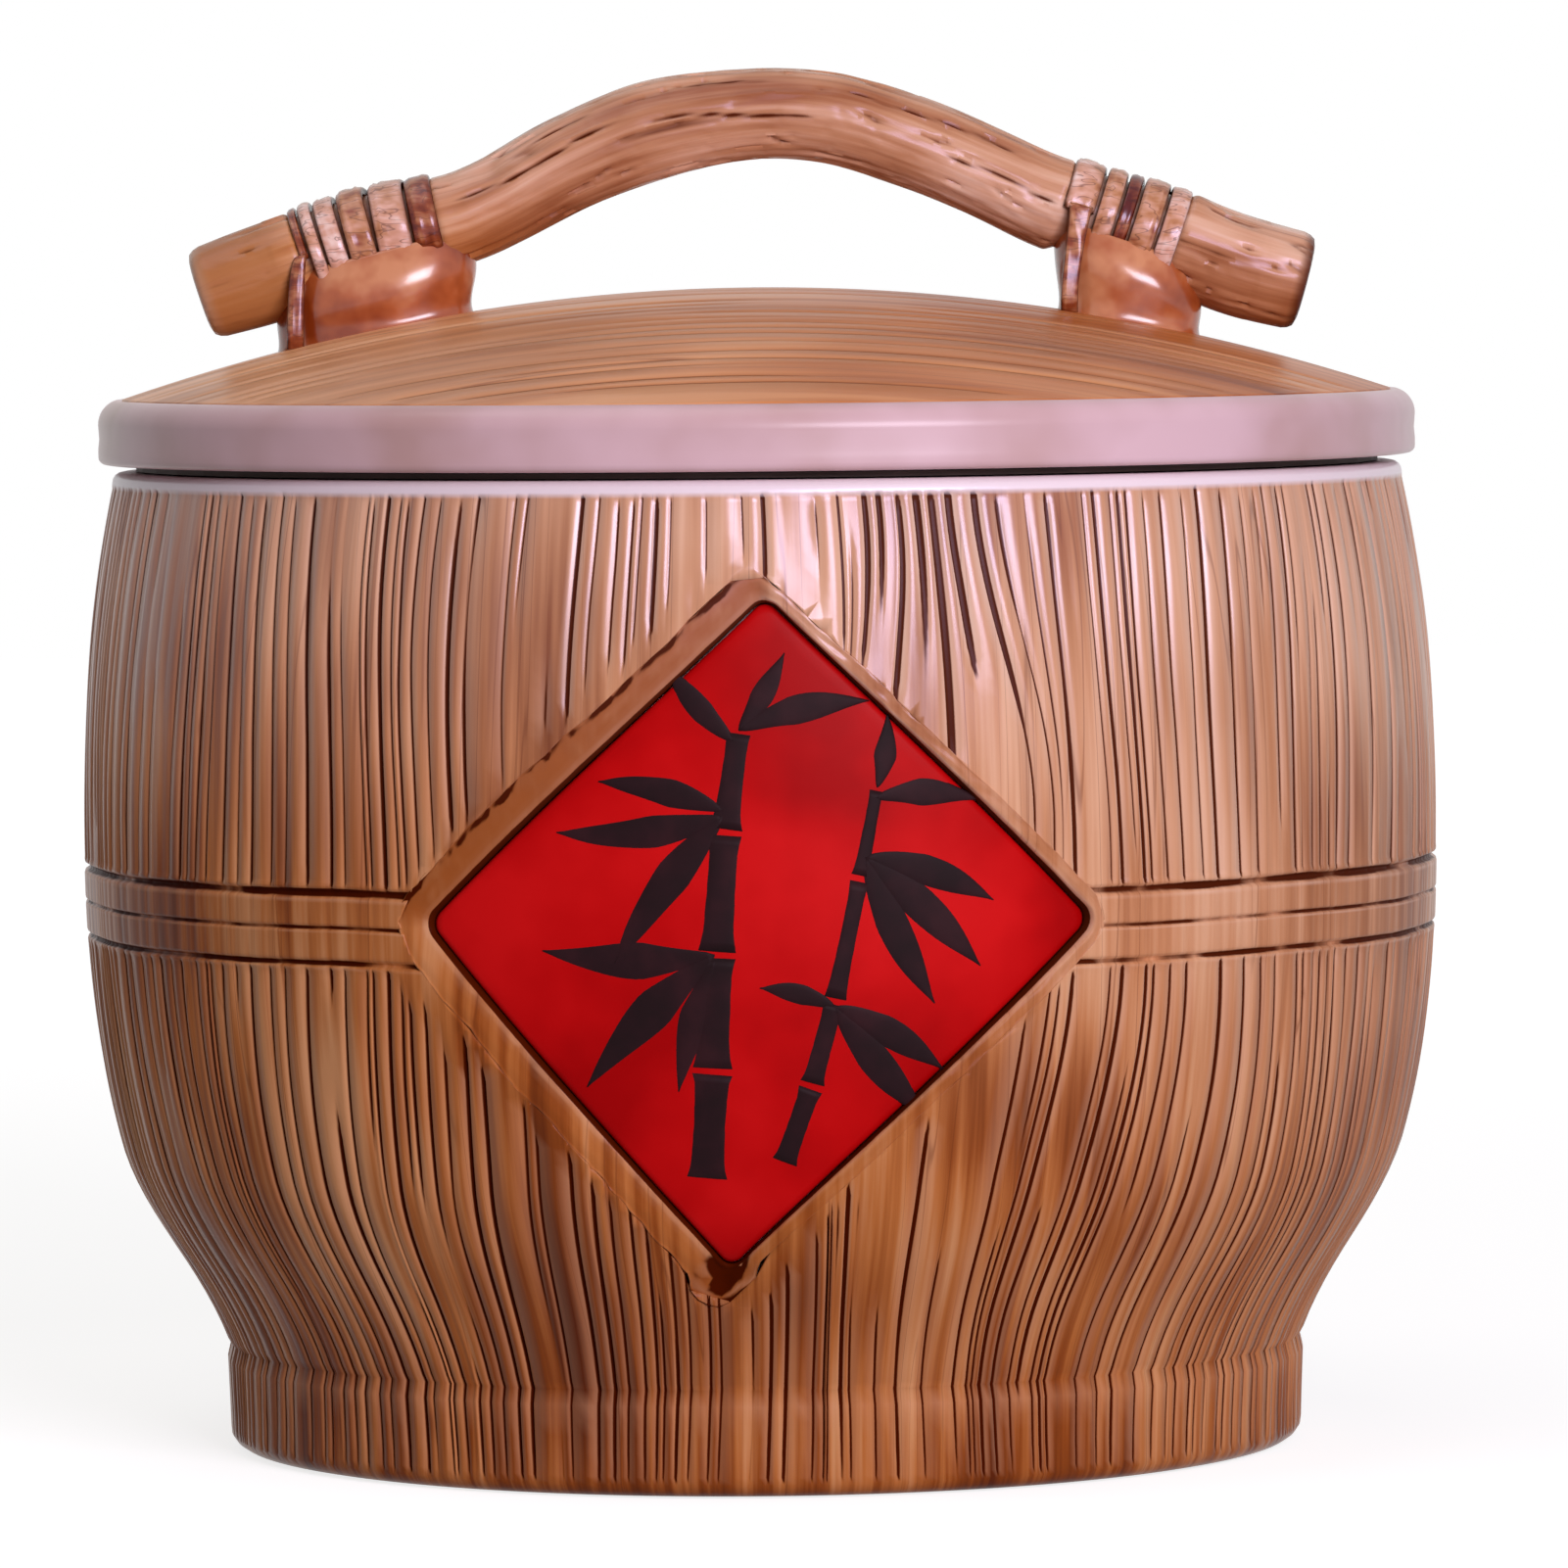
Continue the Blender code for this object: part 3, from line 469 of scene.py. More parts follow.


# On the pot, lean paints the left side darker as shade. The wear-and-shade colour goes on the diamond's
# border, mostly as the painted shade of its upper left.
potGlaze = grainGlaze("washedGlazePot", {
    "roughness": 0.28, "shine": 0.74, "shineLow": 0.08, "sheen": "#ece6ff",
    "streak": (0.0019, 0.060), "patch": 0.055,
    "wash": ("#935430", "#ba8059", "#ce9772", "#deae8e"),
    "washLow": ("#5f2608", "#8e4719", "#b56c36", "#d09362"),
    "toneFrom": 0.062, "toneTo": 0.205, "lean": 0.40,
    "lip": "#edc8b2", "lipLow": "#cf9670", "lipShare": 0.50, "wearAndShade": "#9a5222",
    "hairs": ((0.0046, 0.018, 0.0), (0.0030, 0.014, 9.0)), "hair": "#6a3216", "hairShare": 0.45,
    "stain": "#4e200e", "stainLow": "#461201", "stainFrom": 0.06, "stainTo": 0.36, "bump": 0.22,
})
# On the lid, the negative lean paints the dome's left side lighter: painted light.
lidGlaze = grainGlaze("washedGlazeLid", {
    "roughness": 0.36, "shine": 0.16, "shineLow": 1.0, "sheen": "#f6efff",
    "streak": (0.0032, 0.070), "patch": 0.050,
    "wash": ("#b0703f", "#d89866", "#eeb080", "#f8c89c"),
    "washLow": ("#7a360a", "#a2541a", "#ba692e", "#d28954"),
    "toneFrom": 0.185, "toneTo": 0.310, "lean": -0.60,
    "lip": "#e8b692", "lipLow": "#dba074", "lipShare": 0.4, "wearAndShade": "#8c4d2b",
    "hairs": ((0.0070, 0.020, 0.0),), "hair": "#7c4020", "hairShare": 0.5,
    "stain": "#64300f", "stainLow": "#64300f", "stainFrom": 0.10, "stainTo": 0.60, "bump": 0.2,
})
# On the branch, the tone darkens towards its low ends, and lean paints its left side darker as shade.
barkGlaze = grainGlaze("washedGlazeBark", {
    "roughness": 0.27, "shine": 0.36, "shineLow": 0.6, "sheen": "#dcd2f4",
    "streak": (0.0017, 0.040), "patch": 0.024,
    "wash": ("#9a5c3a", "#c08864", "#d8a688", "#ecc9b4"),
    "washLow": ("#7a3812", "#9f5a28", "#bd7a45", "#d69c6e"),
    "toneFrom": 0.226, "toneTo": 0.252, "lean": 0.12,
    "lip": "#eccdb9", "lipLow": "#e0b492", "lipShare": 0.5, "wearAndShade": "#b0713f",
    "hairs": ((0.0040, 0.020, 0.0), (0.0027, 0.014, 9.0)), "hair": "#7a4025", "hairShare": 0.50,
    "stain": "#5a230e", "stainLow": "#461503", "stainFrom": 0.06, "stainTo": 0.50, "bump": 0.35,
})


def smoothGlaze(name, codes, patch, roughness, shine, bump=0.0, coat=0.0):
    # Thick even glaze: colour drifts a little where it ran thin or pooled, and the surface is glassy
    material, tree, shader = newMaterial(name, roughness, shine, coat=coat)
    place = objectPlace(tree)
    drift = plainNoise(place, 1 / patch, 3.0)
    fill(shader, {"Base Color": rampOf(drift, spaced(*meltPlaces, len(codes) - 1), codes)})
    if bump:
        fill(shader, {"Normal": bumped(plainNoise(place, 90.0, 2.0), bump, 0.0005)})
    return material


bandGlaze = smoothGlaze("paleGlazeBand", ("#bb9490", "#caa5a8", "#d6b2b8"), 0.040, 0.30, 0.3, 0.15)
redGlaze = smoothGlaze("redGlaze", ("#a20205", "#ba070a", "#cb1012"), 0.035, 0.40, 0.05, 0.1)
lugGlaze = smoothGlaze("ironGlazeLug", ("#83330f", "#aa5529", "#c98358"), 0.012, 0.21, 0.6, 0.25, 0.10)
inkGlaze = smoothGlaze("inkOverglaze", ("#1a0a0d", "#210d11", "#2b1216"), 0.010, 0.55, 0.08)
sawnGlaze = smoothGlaze("sawnEndGlaze", ("#4a2c26", "#5d3a31", "#7a5348"), 0.006, 0.3, 0.4)
# The seal ring's dark brown-grey is painted shade: the ring takes the dark of the shadowed gap under the lid
paintedShadeSilicone = smoothGlaze("siliconeDarkAsShade", ("#40342f", "#4a3d38"), 0.02, 0.6, 0.2)

cordLook = {
    "roughness": 0.20, "shine": 0.45, "sheen": "#e2d8ee", "crevice": "#41150a",
    "tones": ("#541208", "#8c4322", "#bb8058", "#d9a48e", "#efd0c4"),
    "cloud": (210.0, 420.0, 420.0), "cloudShare": 1.10, "fibreShare": 0.50,
    "crease": (120.0, 560.0, 560.0), "creaseWide": 0.030, "creaseShare": 0.55,
}


def strandGlaze(name, look):
    # Iron glaze that ran thin over some strands and pooled red on others, the pale ones partly painted
    # highlight: the colour follows each strand's own tone, darker between its fibres, and nearly black in
    # the crevice beside it, which is painted shade between the strands
    material, tree, shader = newMaterial(name, look["roughness"], look["shine"], look["sheen"])
    place = objectPlace(tree)
    cloud = stretchedNoise(place, look["cloud"])
    crease = (stretchedNoise(place, look["crease"], 1.0, 3.0) - 0.5).math("ABSOLUTE")
    crease = crease.ranged(look["creaseWide"], 0.0)
    tone, fibre, groove = stored(tree, "tone", "fibre", "groove")
    mixed = tone + (cloud - 0.5) * look["cloudShare"] + (fibre - 0.5) * look["fibreShare"]
    colour = rampOf(mixed, spaced(0.0, 1.0, len(look["tones"]) - 1), look["tones"])
    # painted shade: the crevice at each strand's edge goes nearly black
    colour = blend(groove.math("MAXIMUM", crease * look["creaseShare"]), colour, look["crevice"])
    fill(shader, {"Base Color": colour, "Specular IOR Level": (groove * -0.9 + 1.0) * look["shine"]})
    return material


cordGlaze = strandGlaze("ironGlazeCord", cordLook)
print("stage: materials made")


# Carved pot, kept clear of the diamond

diamond = {
    # its corners by arc length and height over the hoop's middle: top, right, bottom, left
    "corners": ((0.0014, 0.0626), (0.0662, 0.0012), (-0.0073, -0.0643), (-0.0670, 0.0016)),
    "rounding": 0.0030,        # radius of the red field's corners
    "borderLeft": 0.0066,      # the border is broad on the left sides and narrow on the right
    "borderRight": 0.0032,
    "ragged": 0.16,            # its outer edge wanders by this share of its width
    "chip": 0.0020,            # at the bottom corner a flake came off, reaching this much further
    "chipReach": 0.0060,
    "faceDepth": 0.0029,       # how deep the red face lies
    "crown": 0.0002,           # its middle rises by this much
    "thick": 0.0022,           # from the red face to its back
    "joint": 0.0001,           # between the red face and its border
    "pocket": 0.0050,          # depth of the wall that is folded in round it
    "samples": 288, "cornerSteps": 8,
    # where the carving starts outside it, as a share of the half diagonal: that on the right, what
    # the left sides add to it, and what the lower left adds again
    "clearRight": 1.050, "clearUpper": 0.080, "clearLower": 0.070, "clearRagged": 0.28, "clearFade": 0.07,
}

seams = {
    # the solid's seams: their number, how unevenly they stand, how they drift on their way up, and
    # the two places in front where the carver let them lean in and split apart
    "Staves": 44.0, "Uneven": 0.15, "Uneven Turns": 17.0,
    "Drift": 0.0014, "Drift Turns": 6.0, "Drift Rise": 45.0,
    "Lean": -0.0070, "Lean Place": 0.062, "Lean Reach": 0.062, "Lean From": 0.100, "Lean To": 0.030,
    "Split": 1.0, "Split Place": 0.036, "Split Reach": 0.024, "Split From": 0.188, "Split To": 0.130,
}
potCarving = {
    "Per Stave": 5, "Depth": 0.0011, "Half Width": 0.00044, "Wobble": 0.0010,
    "Hewn": 0.0004, "Sway": 0.0012, "Seed": 11, "Radius": jar["belly"], "Glaze": potGlaze,
}
fineLine = {
    "jitter": 0.30,            # how far a line strays from its even place, in strips
    "shake": (190.0, 190.0, 30.0), "fading": (190.0, 190.0, 14.0),
    "boldness": 0.38, "boldSpread": 0.50, "boldLow": 0.22, "boldSeam": 0.92, "boldest": 1.85,
    "lowFrom": 0.118, "lowTo": 0.080,      # lines grow bolder on the way down
    "crack": 1.25, "crackReach": 0.015, "crackFrom": 0.118, "crackTo": 0.124,
    "start": (0.0002, 0.0046),             # how far under the rim's edge a line starts
    "lip": 0.00020, "room": 0.30,          # the lip beside a line, and the most it takes of the strip
    "least": 0.00030, "shoulder": 0.00014, # how deep the faintest line and the strips' edges lie
}


def seamPlaceTree():
    # Arc length from the front of the line that stands at a stave's number, at a height
    inputs = {"Stave": 0.0, "Height": 0.0, "Radius": jar["belly"], **seams}
    tree, given, result = newTree("seamPlace", inputs, ("Arc",))
    stave, height = given["Stave"], given["Height"]
    turn = stave * (math.tau / seams["Staves"])
    place = stave + given["Uneven"] * (turn * given["Uneven Turns"]).math("SINE")
    arc = place * given["Radius"] * math.tau / given["Staves"]
    drift = given["Drift"] * (height * given["Drift Rise"] + turn * given["Drift Turns"]).math("SINE")
    total = arc + drift
    for label in ("Lean", "Split"):
        offset = (arc - given[label + " Place"]) / given[label + " Reach"]
        window = (1.0 - offset * offset).math("MAXIMUM", 0.0)
        window = window * window
        share = height.ranged(given[label + " From"], given[label + " To"])
        size = given[label] * offset * given["Split Reach"] if label == "Split" else given[label]
        total = total + size * window * share
    fill(result, {0: total})
    return tree


def grooveLineTree(placeTree):
    # Where a fine carved line runs at a height, how strong it is there, and how wide
    inputs = {"Groove": 0.0, "Height": 0.0, "Per Stave": 5.0, "Seed": 1.0, "Wobble": 0.001,
              "Radius": jar["belly"]}
    tree, given, result = newTree("grooveLine", inputs, ("Place", "Strength", "Width"))
    groove, height, seed = given["Groove"], given["Height"], given["Seed"]
    total = given["Per Stave"] * seams["Staves"]
    own = (groove - (groove / total).math("FLOOR") * total).math("ROUND")
    main = own.math("FLOORED_MODULO", given["Per Stave"]).math("LESS_THAN", 0.5)
    fine = 1.0 - main
    jitter = drawn(-fineLine["jitter"], fineLine["jitter"], own, seed)
    stave = (groove + jitter * fine) / given["Per Stave"] - seams["Staves"] / 2
    arc = Field(addNode(tree, "GeometryNodeGroup", {"Stave": stave, "Height": height}, node_tree=placeTree))
    turn = own / total * math.tau
    spot = (turn.math("COSINE") * given["Radius"], turn.math("SINE") * given["Radius"], height)
    shake = wovenNoise(spot, fineLine["shake"], seed + 31.7) - 0.5
    fading = wovenNoise(spot, fineLine["fading"], seed + 57.3, 0.0)
    place = arc + shake * given["Wobble"] * (fine * 0.65 + 0.35)
    bold = drawn(0.0, 1.0, own, seed + 1.0)
    lower = height.ranged(fineLine["lowFrom"], fineLine["lowTo"], kind="LINEAR")
    bold = bold * bold * fineLine["boldSpread"] + fineLine["boldness"] + lower * fineLine["boldLow"]
    bold = bold.math("MAXIMUM", main * fineLine["boldSeam"])
    offset = (arc - seams["Split Place"]) / fineLine["crackReach"]
    cracked = (1.0 - offset * offset).math("MAXIMUM", 0.0).math("SQRT")
    upper = height.ranged(fineLine["crackFrom"], fineLine["crackTo"], kind="LINEAR")
    bold = (bold + cracked * upper * fineLine["crack"]).math("MINIMUM", fineLine["boldest"])
    fade = fading.ranged(0.33, 0.43).math("MAXIMUM", main * 0.6)
    below = ((jar["rimHeight"] - jar["rimEdge"]) - height) / drawn(*fineLine["start"], own, seed + 2.0)
    fade = fade * below.math("MINIMUM", 1.0).math("MAXIMUM", 0.0)
    fill(result, {"Place": place, "Strength": bold * fade, "Width": bold})
    return tree


def clearOfDiamond(arc, height, uneven):
    # 0 on the smooth margin round the diamond, 1 out in the carving: wide on the lower left,
    # narrow on the upper left, hardly any on the right
    top, right, bottom, left = diamond["corners"]
    u = arc - diamondMiddle.x
    v = height - (jar["hoopHeight"] + diamondMiddle.y)
    reach = (u / ((right[0] - left[0]) / 2)).math("ABSOLUTE")
    reach = reach + (v / ((top[1] - bottom[1]) / 2)).math("ABSOLUTE")
    leftward = u.ranged(0.012, -0.012, kind="LINEAR")
    lower = v.ranged(0.006, -0.012, kind="LINEAR")
    start = leftward * (lower * diamond["clearLower"] + diamond["clearUpper"]) + diamond["clearRight"]
    return (reach + (uneven - 0.5) * diamond["clearRagged"] - start).ranged(0.0, diamond["clearFade"])


def carvedPotTree():
    # Turns the outline into a ring of columns, four to a groove: its bottom, its lip, the crown of
    # the strip beside it and the next groove's lip, so that every line is a crisp cut
    tree, given, result = newTree("carvedPot", {"Outline": None, **potCarving})
    lineTree = grooveLineTree(seamPlaceTree())
    seed = given["Seed"]
    columns = given["Per Stave"] * (seams["Staves"] * 4.0) + 1.0
    grid, column, _, sampled = sweptGrid(tree, given["Outline"], columns, ("position",),
                                         ("carve", "ink", "sway", "pale"))
    outline = addNode(tree, "ShaderNodeSeparateXYZ", {0: sampled["position"]})
    radius, height = Field(outline, "X"), Field(outline, "Z")
    groove = (column / 4.0).math("FLOOR")
    part = column - groove * 4.0
    shared = {label: given[label] for label in ("Seed", "Per Stave", "Wobble", "Radius")}
    places, strengths, lips = [], [], []
    for which in (groove, groove + 1.0):
        links = {"Groove": which, "Height": height, **shared}
        line = addNode(tree, "GeometryNodeGroup", links, node_tree=lineTree)
        places.append(Field(line, "Place"))
        strengths.append(Field(line, "Strength"))
        lips.append(Field(line, "Width") * given["Half Width"] + fineLine["lip"])
    room = (places[1] - places[0]) * fineLine["room"]
    lipHere = places[0] + lips[0].math("MINIMUM", room)
    lipThere = places[1] - lips[1].math("MINIMUM", room)
    uneven = wovenNoise((groove, seed, height), (0.73, 1.0, 22.0), seed)
    plate = uneven.ranged(0.25, 0.75, -1.0, 0.0, "LINEAR") * given["Hewn"]
    low = plate - fineLine["shoulder"]
    cut = strengths[0] * given["Depth"] * -1.0 - fineLine["least"]
    across = pickBy(part, places[0], lipHere, (lipHere + lipThere) * 0.5, lipThere)
    carve = sampled["carve"] * clearOfDiamond(across, height, uneven)
    radius = radius + pickBy(part, cut, low, plate, low) * carve
    turn = across / given["Radius"]
    east, north = turn.math("SINE"), turn.math("COSINE") * -1.0
    wave = wovenNoise((east, north, seed), (3.1, 3.1, 1.0), seed, 2.0) - 0.5
    height = height + wave * given["Sway"] * sampled["sway"]
    place = addNode(tree, "ShaderNodeCombineXYZ", {"X": east * radius, "Y": north * radius, "Z": height})
    inkPatches = wovenNoise((east, north, height), (11.0, 11.0, 140.0), seed + 3.0, 2.0)
    ink = sampled["ink"] * inkPatches.ranged(0.32, 0.60, 0.12, 1.0, "LINEAR")
    # The cuts take the wash's stain. Their lips, and the rows of negative ink, take the lip mark: a painted
    # highlight.
    stain = (pickBy(part, strengths[0], 0.0, 0.0, 0.0) * carve).math("MAXIMUM", ink)
    bright = (pickBy(part, 0.0, strengths[0], 0.0, strengths[1]) * carve).math("MAXIMUM", ink * -1.0)
    marks = {"groove": stain, "lip": bright, "pale": sampled["pale"]}
    return finishTree(tree, grid, place, marks, given["Glaze"], result)


def hoopRows(edgeHeight):
    # Depth and stain by height up the outside: plain rows, and the hoop's three lines between them,
    # each with its height, depth, half width and stain, and below it a bright lip, which is a painted
    # highlight
    half = jar["hoopWidth"] / 2
    lines = ((jar["hoopHeight"] + half, 0.0012, 0.0009, 0.70), (jar["hoopHeight"], 0.0006, 0.0005, 0.40),
             (jar["hoopHeight"] - half, 0.0009, 0.0007, 0.55))
    plain = spaced(jar["lineFoot"], edgeHeight - 0.0050, 53)
    plain += [edgeHeight - drop for drop in (0.0034, 0.0022, 0.0013, 0.0006, 0.0002)]
    rows = {z: (0.0, 0.0) for z in plain if all(abs(z - line[0]) > line[2] * 2.6 for line in lines)}
    for z, depth, reach, ink in lines:
        for side in (-1, 1):
            # negative ink just below a line paints a highlight on the hoop's edge
            for off, row in ((2.2, (0.0, 0.0)), (1.5, (0.0, -0.9 if side < 0 else 0.0)),
                             (1.0, (0.12 * depth, 0.10 * ink)), (0.35, (depth, ink))):
                rows[z + side * reach * off] = row
    return sorted(rows.items(), reverse=True)


def potOutline():
    # (radius, height, carve, ink, sway, pale) from the floor's middle, up, over the rim and down outside
    skin = jar["skin"]
    filletHeight = jar["floor"] + jar["fillet"]

    def innerRadius(height):
        return potRadius(height) - jar["wall"] * math.hypot(1.0, slopeOf(potRadius, height, 0.0002))

    throatRadius = rimRadius - jar["rimLand"]
    throatFoot = jar["rimHeight"] - jar["throatDepth"]
    inside = [(0.0, jar["floor"]), (0.045, jar["floor"])]
    inside += arcPoints(innerRadius(filletHeight) - jar["fillet"], filletHeight, jar["fillet"], -90, 0, 4)
    inside += [(innerRadius(z), z) for z in spaced(filletHeight, throatFoot - jar["throatTaper"], 6)[1:]]
    inside += [(throatRadius + 0.0010, throatFoot), (throatRadius + skin, throatFoot + 0.0010)]
    inside += [(throatRadius + skin, jar["rimHeight"] - 0.0008), (throatRadius + 0.0008, jar["rimHeight"])]
    edgeHeight = jar["rimHeight"] - jar["rimEdge"]
    edgeRadius = potRadius(edgeHeight) - jar["rimEdge"]
    inside += arcPoints(edgeRadius - skin, edgeHeight, jar["rimEdge"], 90, 0, 4)
    rows = [(r, z, 0.0, 0.0, 0.0, 1.0) for r, z in inside]
    for z, (depth, ink) in hoopRows(edgeHeight):
        band = abs(z - jar["hoopHeight"]) - jar["hoopWidth"] / 2
        carve = max(eased(0.0003, 0.0022, band), 0.10)
        carve *= 1.0 - eased(edgeHeight - 0.0012, edgeHeight - 0.0002, z)
        sway = 1.0 - eased(0.0, 0.006, band)
        pale = eased(edgeHeight - 0.0010, edgeHeight - 0.0003, z)
        rows.append((potRadius(z) - skin - depth, z, carve, ink, sway, pale))
    # a crease along the foot's top edge, with a painted highlight on the roll of clay below it
    creases = ((0.0008, 0.13), (0.0, -0.75), (0.0, -0.35), (0.0, 0.0), (0.0, 0.0))
    for z, (depth, ink) in zip(spaced(0.0205, jar["baseEdge"] + 0.0015, len(creases)), creases):
        share = (z - jar["baseEdge"]) / (jar["lineFoot"] - jar["baseEdge"])
        radius = baseRadius + (potRadius(jar["lineFoot"]) - baseRadius) * share - skin
        rows.append((radius - depth, z, 0.9, ink, 0.3, 0.0))
    base = arcPoints(baseRadius - jar["baseEdge"] - skin, jar["baseEdge"], jar["baseEdge"], 0, -90, 4)
    ringInner = baseRadius - jar["baseEdge"] - jar["ringWidth"]
    base += [(ringInner, 0.0), (ringInner - jar["ringDepth"], jar["ringDepth"]), (0.05, jar["ringDepth"]),
             (0.0, jar["ringDepth"])]
    return rows + [(r, z, 0.6 if i == 0 else 0.0, 0.0, 0.0, 0.0) for i, (r, z) in enumerate(base)]


def buildPot():
    rows = [((radius, 0.0, height), *marks) for radius, height, *marks in potOutline()]
    item = pathObject("potOutline", rows, ("carve", "ink", "sway", "pale"))
    pot = settled("carvedPot", item, carvedPotTree(), potCarving)
    tidyNormals(pot)
    print("stage: pot carved,", len(pot.data.polygons), "faces from", len(rows), "rows")
    return pot


# Diamond: outline, opening, border and plaque

def roundedOutline(corners, rounding, samples, steps):
    # Points and outward normals of a rounded four-sided outline, clockwise from the top
    count = len(corners)
    pieces = []
    for i, corner in enumerate(corners):
        here, before, after = Vector(corner), Vector(corners[i - 1]), Vector(corners[(i + 1) % count])
        dirIn, dirOut = (here - before).normalized(), (after - here).normalized()
        normalIn, normalOut = Vector((-dirIn.y, dirIn.x)), Vector((-dirOut.y, dirOut.x))
        trim = rounding * math.tan(normalIn.angle(normalOut) / 2)
        pieces.append((here - dirIn * trim - normalIn * rounding, normalIn, normalOut))
    result = []
    for i, (centre, normalIn, normalOut) in enumerate(pieces):
        for k in range(steps + 1):
            n = normalIn.slerp(normalOut, k / steps).normalized()
            result.append((centre + n * rounding, n))
        following = pieces[(i + 1) % count]
        start = centre + normalOut * rounding
        end = following[0] + following[1] * rounding
        runs = samples // count - steps
        result += [(start.lerp(end, k / runs), normalOut) for k in range(1, runs)]
    return result


redOutline = roundedOutline(*(diamond[label] for label in ("corners", "rounding", "samples", "cornerSteps")))
diamondMiddle = sum((Vector(c) for c in diamond["corners"]), Vector((0.0, 0.0))) / 4


def rightward(normal):
    # 0 where the diamond's outline faces left, 1 where it faces right
    return eased(-0.35, 0.35, normal.x)


def chipShare(point):
    # How far a point of the outline lies in the flake that came off below the bottom corner
    away = (point - Vector(diamond["corners"][2])).length
    return 1.0 - eased(0.35 * diamond["chipReach"], diamond["chipReach"], away)


def borderWidth(point, normal):
    # Broad where the outline faces left, narrow where it faces right, uneven all round
    width = diamond["borderLeft"] + (diamond["borderRight"] - diamond["borderLeft"]) * rightward(normal)
    rough = noiseAt(point.x * 90, point.y * 90, 7.3) + 0.6 * noiseAt(point.x * 330, point.y * 330, 2.1)
    return width * (1.0 + diamond["ragged"] * rough) + diamond["chip"] * chipShare(point) * (1.0 + rough)


def insideOutline(outline, u, v):
    # Even-odd test in the unrolled plane
    inside = False
    for point, last in zip(outline, outline[-1:] + outline[:-1]):
        if (point.y > v) != (last.y > v):
            if u < (last.x - point.x) * (v - point.y) / (last.y - point.y) + point.x:
                inside = not inside
    return inside


opening = {
    "step": 4,                 # every so many points of the outline are cut through
    "past": 0.006,             # how far past the outline the pot's skin is unrolled
    "low": 0.03, "high": 0.186, "outermost": -0.001, "innermost": 0.0035,
    "pad": 0.0045,             # faces this near a stretch of the outline are cut by its line
    "cutReach": 0.0000002,
}


def cutOpening(pot, outline):
    # Cuts the pot's outer skin along the border's outline, in the unrolled plane, and folds a wall in
    belly = jar["belly"]

    def unrolled(point):
        return Vector((belly * math.atan2(point.x, -point.y), point.z - jar["hoopHeight"],
                       potRadius(point.z) - math.hypot(point.x, point.y)))

    def isFace(part):
        return isinstance(part, bmesh.types.BMFace)

    reach = max(max(abs(p.x), abs(p.y)) for p in outline) + opening["past"]
    with openMesh(pot) as work:
        front = set()
        for vert in work.verts:
            if vert.co.y < 0 and opening["low"] < vert.co.z < opening["high"]:
                flat = unrolled(vert.co)
                beside = max(abs(flat.x), abs(flat.y)) < reach
                if beside and opening["outermost"] < flat.z < opening["innermost"]:
                    front.add(vert)
        faces = {f for f in work.faces if all(v in front for v in f.verts)}
        flatVerts = {v for f in faces for v in f.verts}
        for vert in flatVerts:
            vert.co = unrolled(vert.co)
        outline = outline[::opening["step"]]
        for point, last in zip(outline, outline[-1:] + outline[:-1]):
            pad = opening["pad"]
            lowX, highX = min(point.x, last.x) - pad, max(point.x, last.x) + pad
            lowY, highY = min(point.y, last.y) - pad, max(point.y, last.y) + pad
            near = []
            for face in faces:
                middle = face.calc_center_median()
                if lowX < middle.x < highX and lowY < middle.y < highY:
                    near.append(face)
            around = near + list({part for f in near for part in (*f.verts, *f.edges)})
            side = point - last
            normal = Vector((-side.y, side.x, 0.0)).normalized()
            cut = bmesh.ops.bisect_plane(work, geom=around, dist=opening["cutReach"],
                                         plane_co=(point.x, point.y, 0.0), plane_no=normal)["geom"]
            fresh = {part for part in cut if isFace(part)}
            faces = {f for f in faces if f.is_valid} | fresh
            flatVerts |= {v for f in fresh for v in f.verts}
            flatVerts |= {part for part in cut if isinstance(part, bmesh.types.BMVert)}
        doomed = []
        for face in faces:
            middle = face.calc_center_median()
            if insideOutline(outline, middle.x, middle.y):
                doomed.append(face)
        bmesh.ops.delete(work, geom=doomed, context="FACES")
        for vert in flatVerts:
            if vert.is_valid:
                vert.co = onBelly(*vert.co)
        rim = [e for e in work.edges if e.is_boundary]
        for vert in bmesh.ops.extrude_edge_only(work, edges=rim)["geom"]:
            if isinstance(vert, bmesh.types.BMVert):
                share = (potRadius(vert.co.z) - diamond["pocket"]) / math.hypot(vert.co.x, vert.co.y)
                vert.co.x *= share
                vert.co.y *= share
    pot.data.shade_smooth()


def potFollow(polygon, point):
    # Unrolled place of a corner
    middle = polygon.center
    turn = unwound(math.atan2(point.x, -point.y), math.atan2(middle.x, -middle.y))
    return turn * jar["belly"], point.z


pot = buildPot()
cutOpening(pot, [point + normal * borderWidth(point, normal) for point, normal in redOutline])
storeUv(pot, potFollow)
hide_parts("jar_body")
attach(pot, "jar")
print("stage: pot done,", len(pot.data.polygons), "faces")

borderSection = (
    # share of the border's width, depth on the left sides, depth on the right ones, groove, and lip,
    # which is a painted highlight
    (0.00, 0.0052, 0.0052, 1.0, 0.0), (0.02, 0.0030, 0.0030, 1.0, 0.0), (0.06, 0.0023, 0.0021, 0.6, 0.0),
    (0.11, 0.0021, 0.0013, 0.0, 0.9), (0.19, 0.0019, 0.0008, 0.0, 0.8), (0.28, 0.0017, 0.0006, 0.0, 0.2),
    (0.45, 0.0013, 0.0005, 0.0, 0.0), (0.62, 0.0009, 0.0005, 0.0, 0.0), (0.78, 0.0006, 0.0005, 0.1, 0.0),
    (0.90, 0.0006, 0.0004, 0.7, 0.0), (0.96, 0.0005, 0.0004, 0.8, 0.0), (1.00, 0.0003, 0.0003, 0.2, 0.3),
    (1.01, 0.0050, 0.0050, 0.3, 0.0),
)


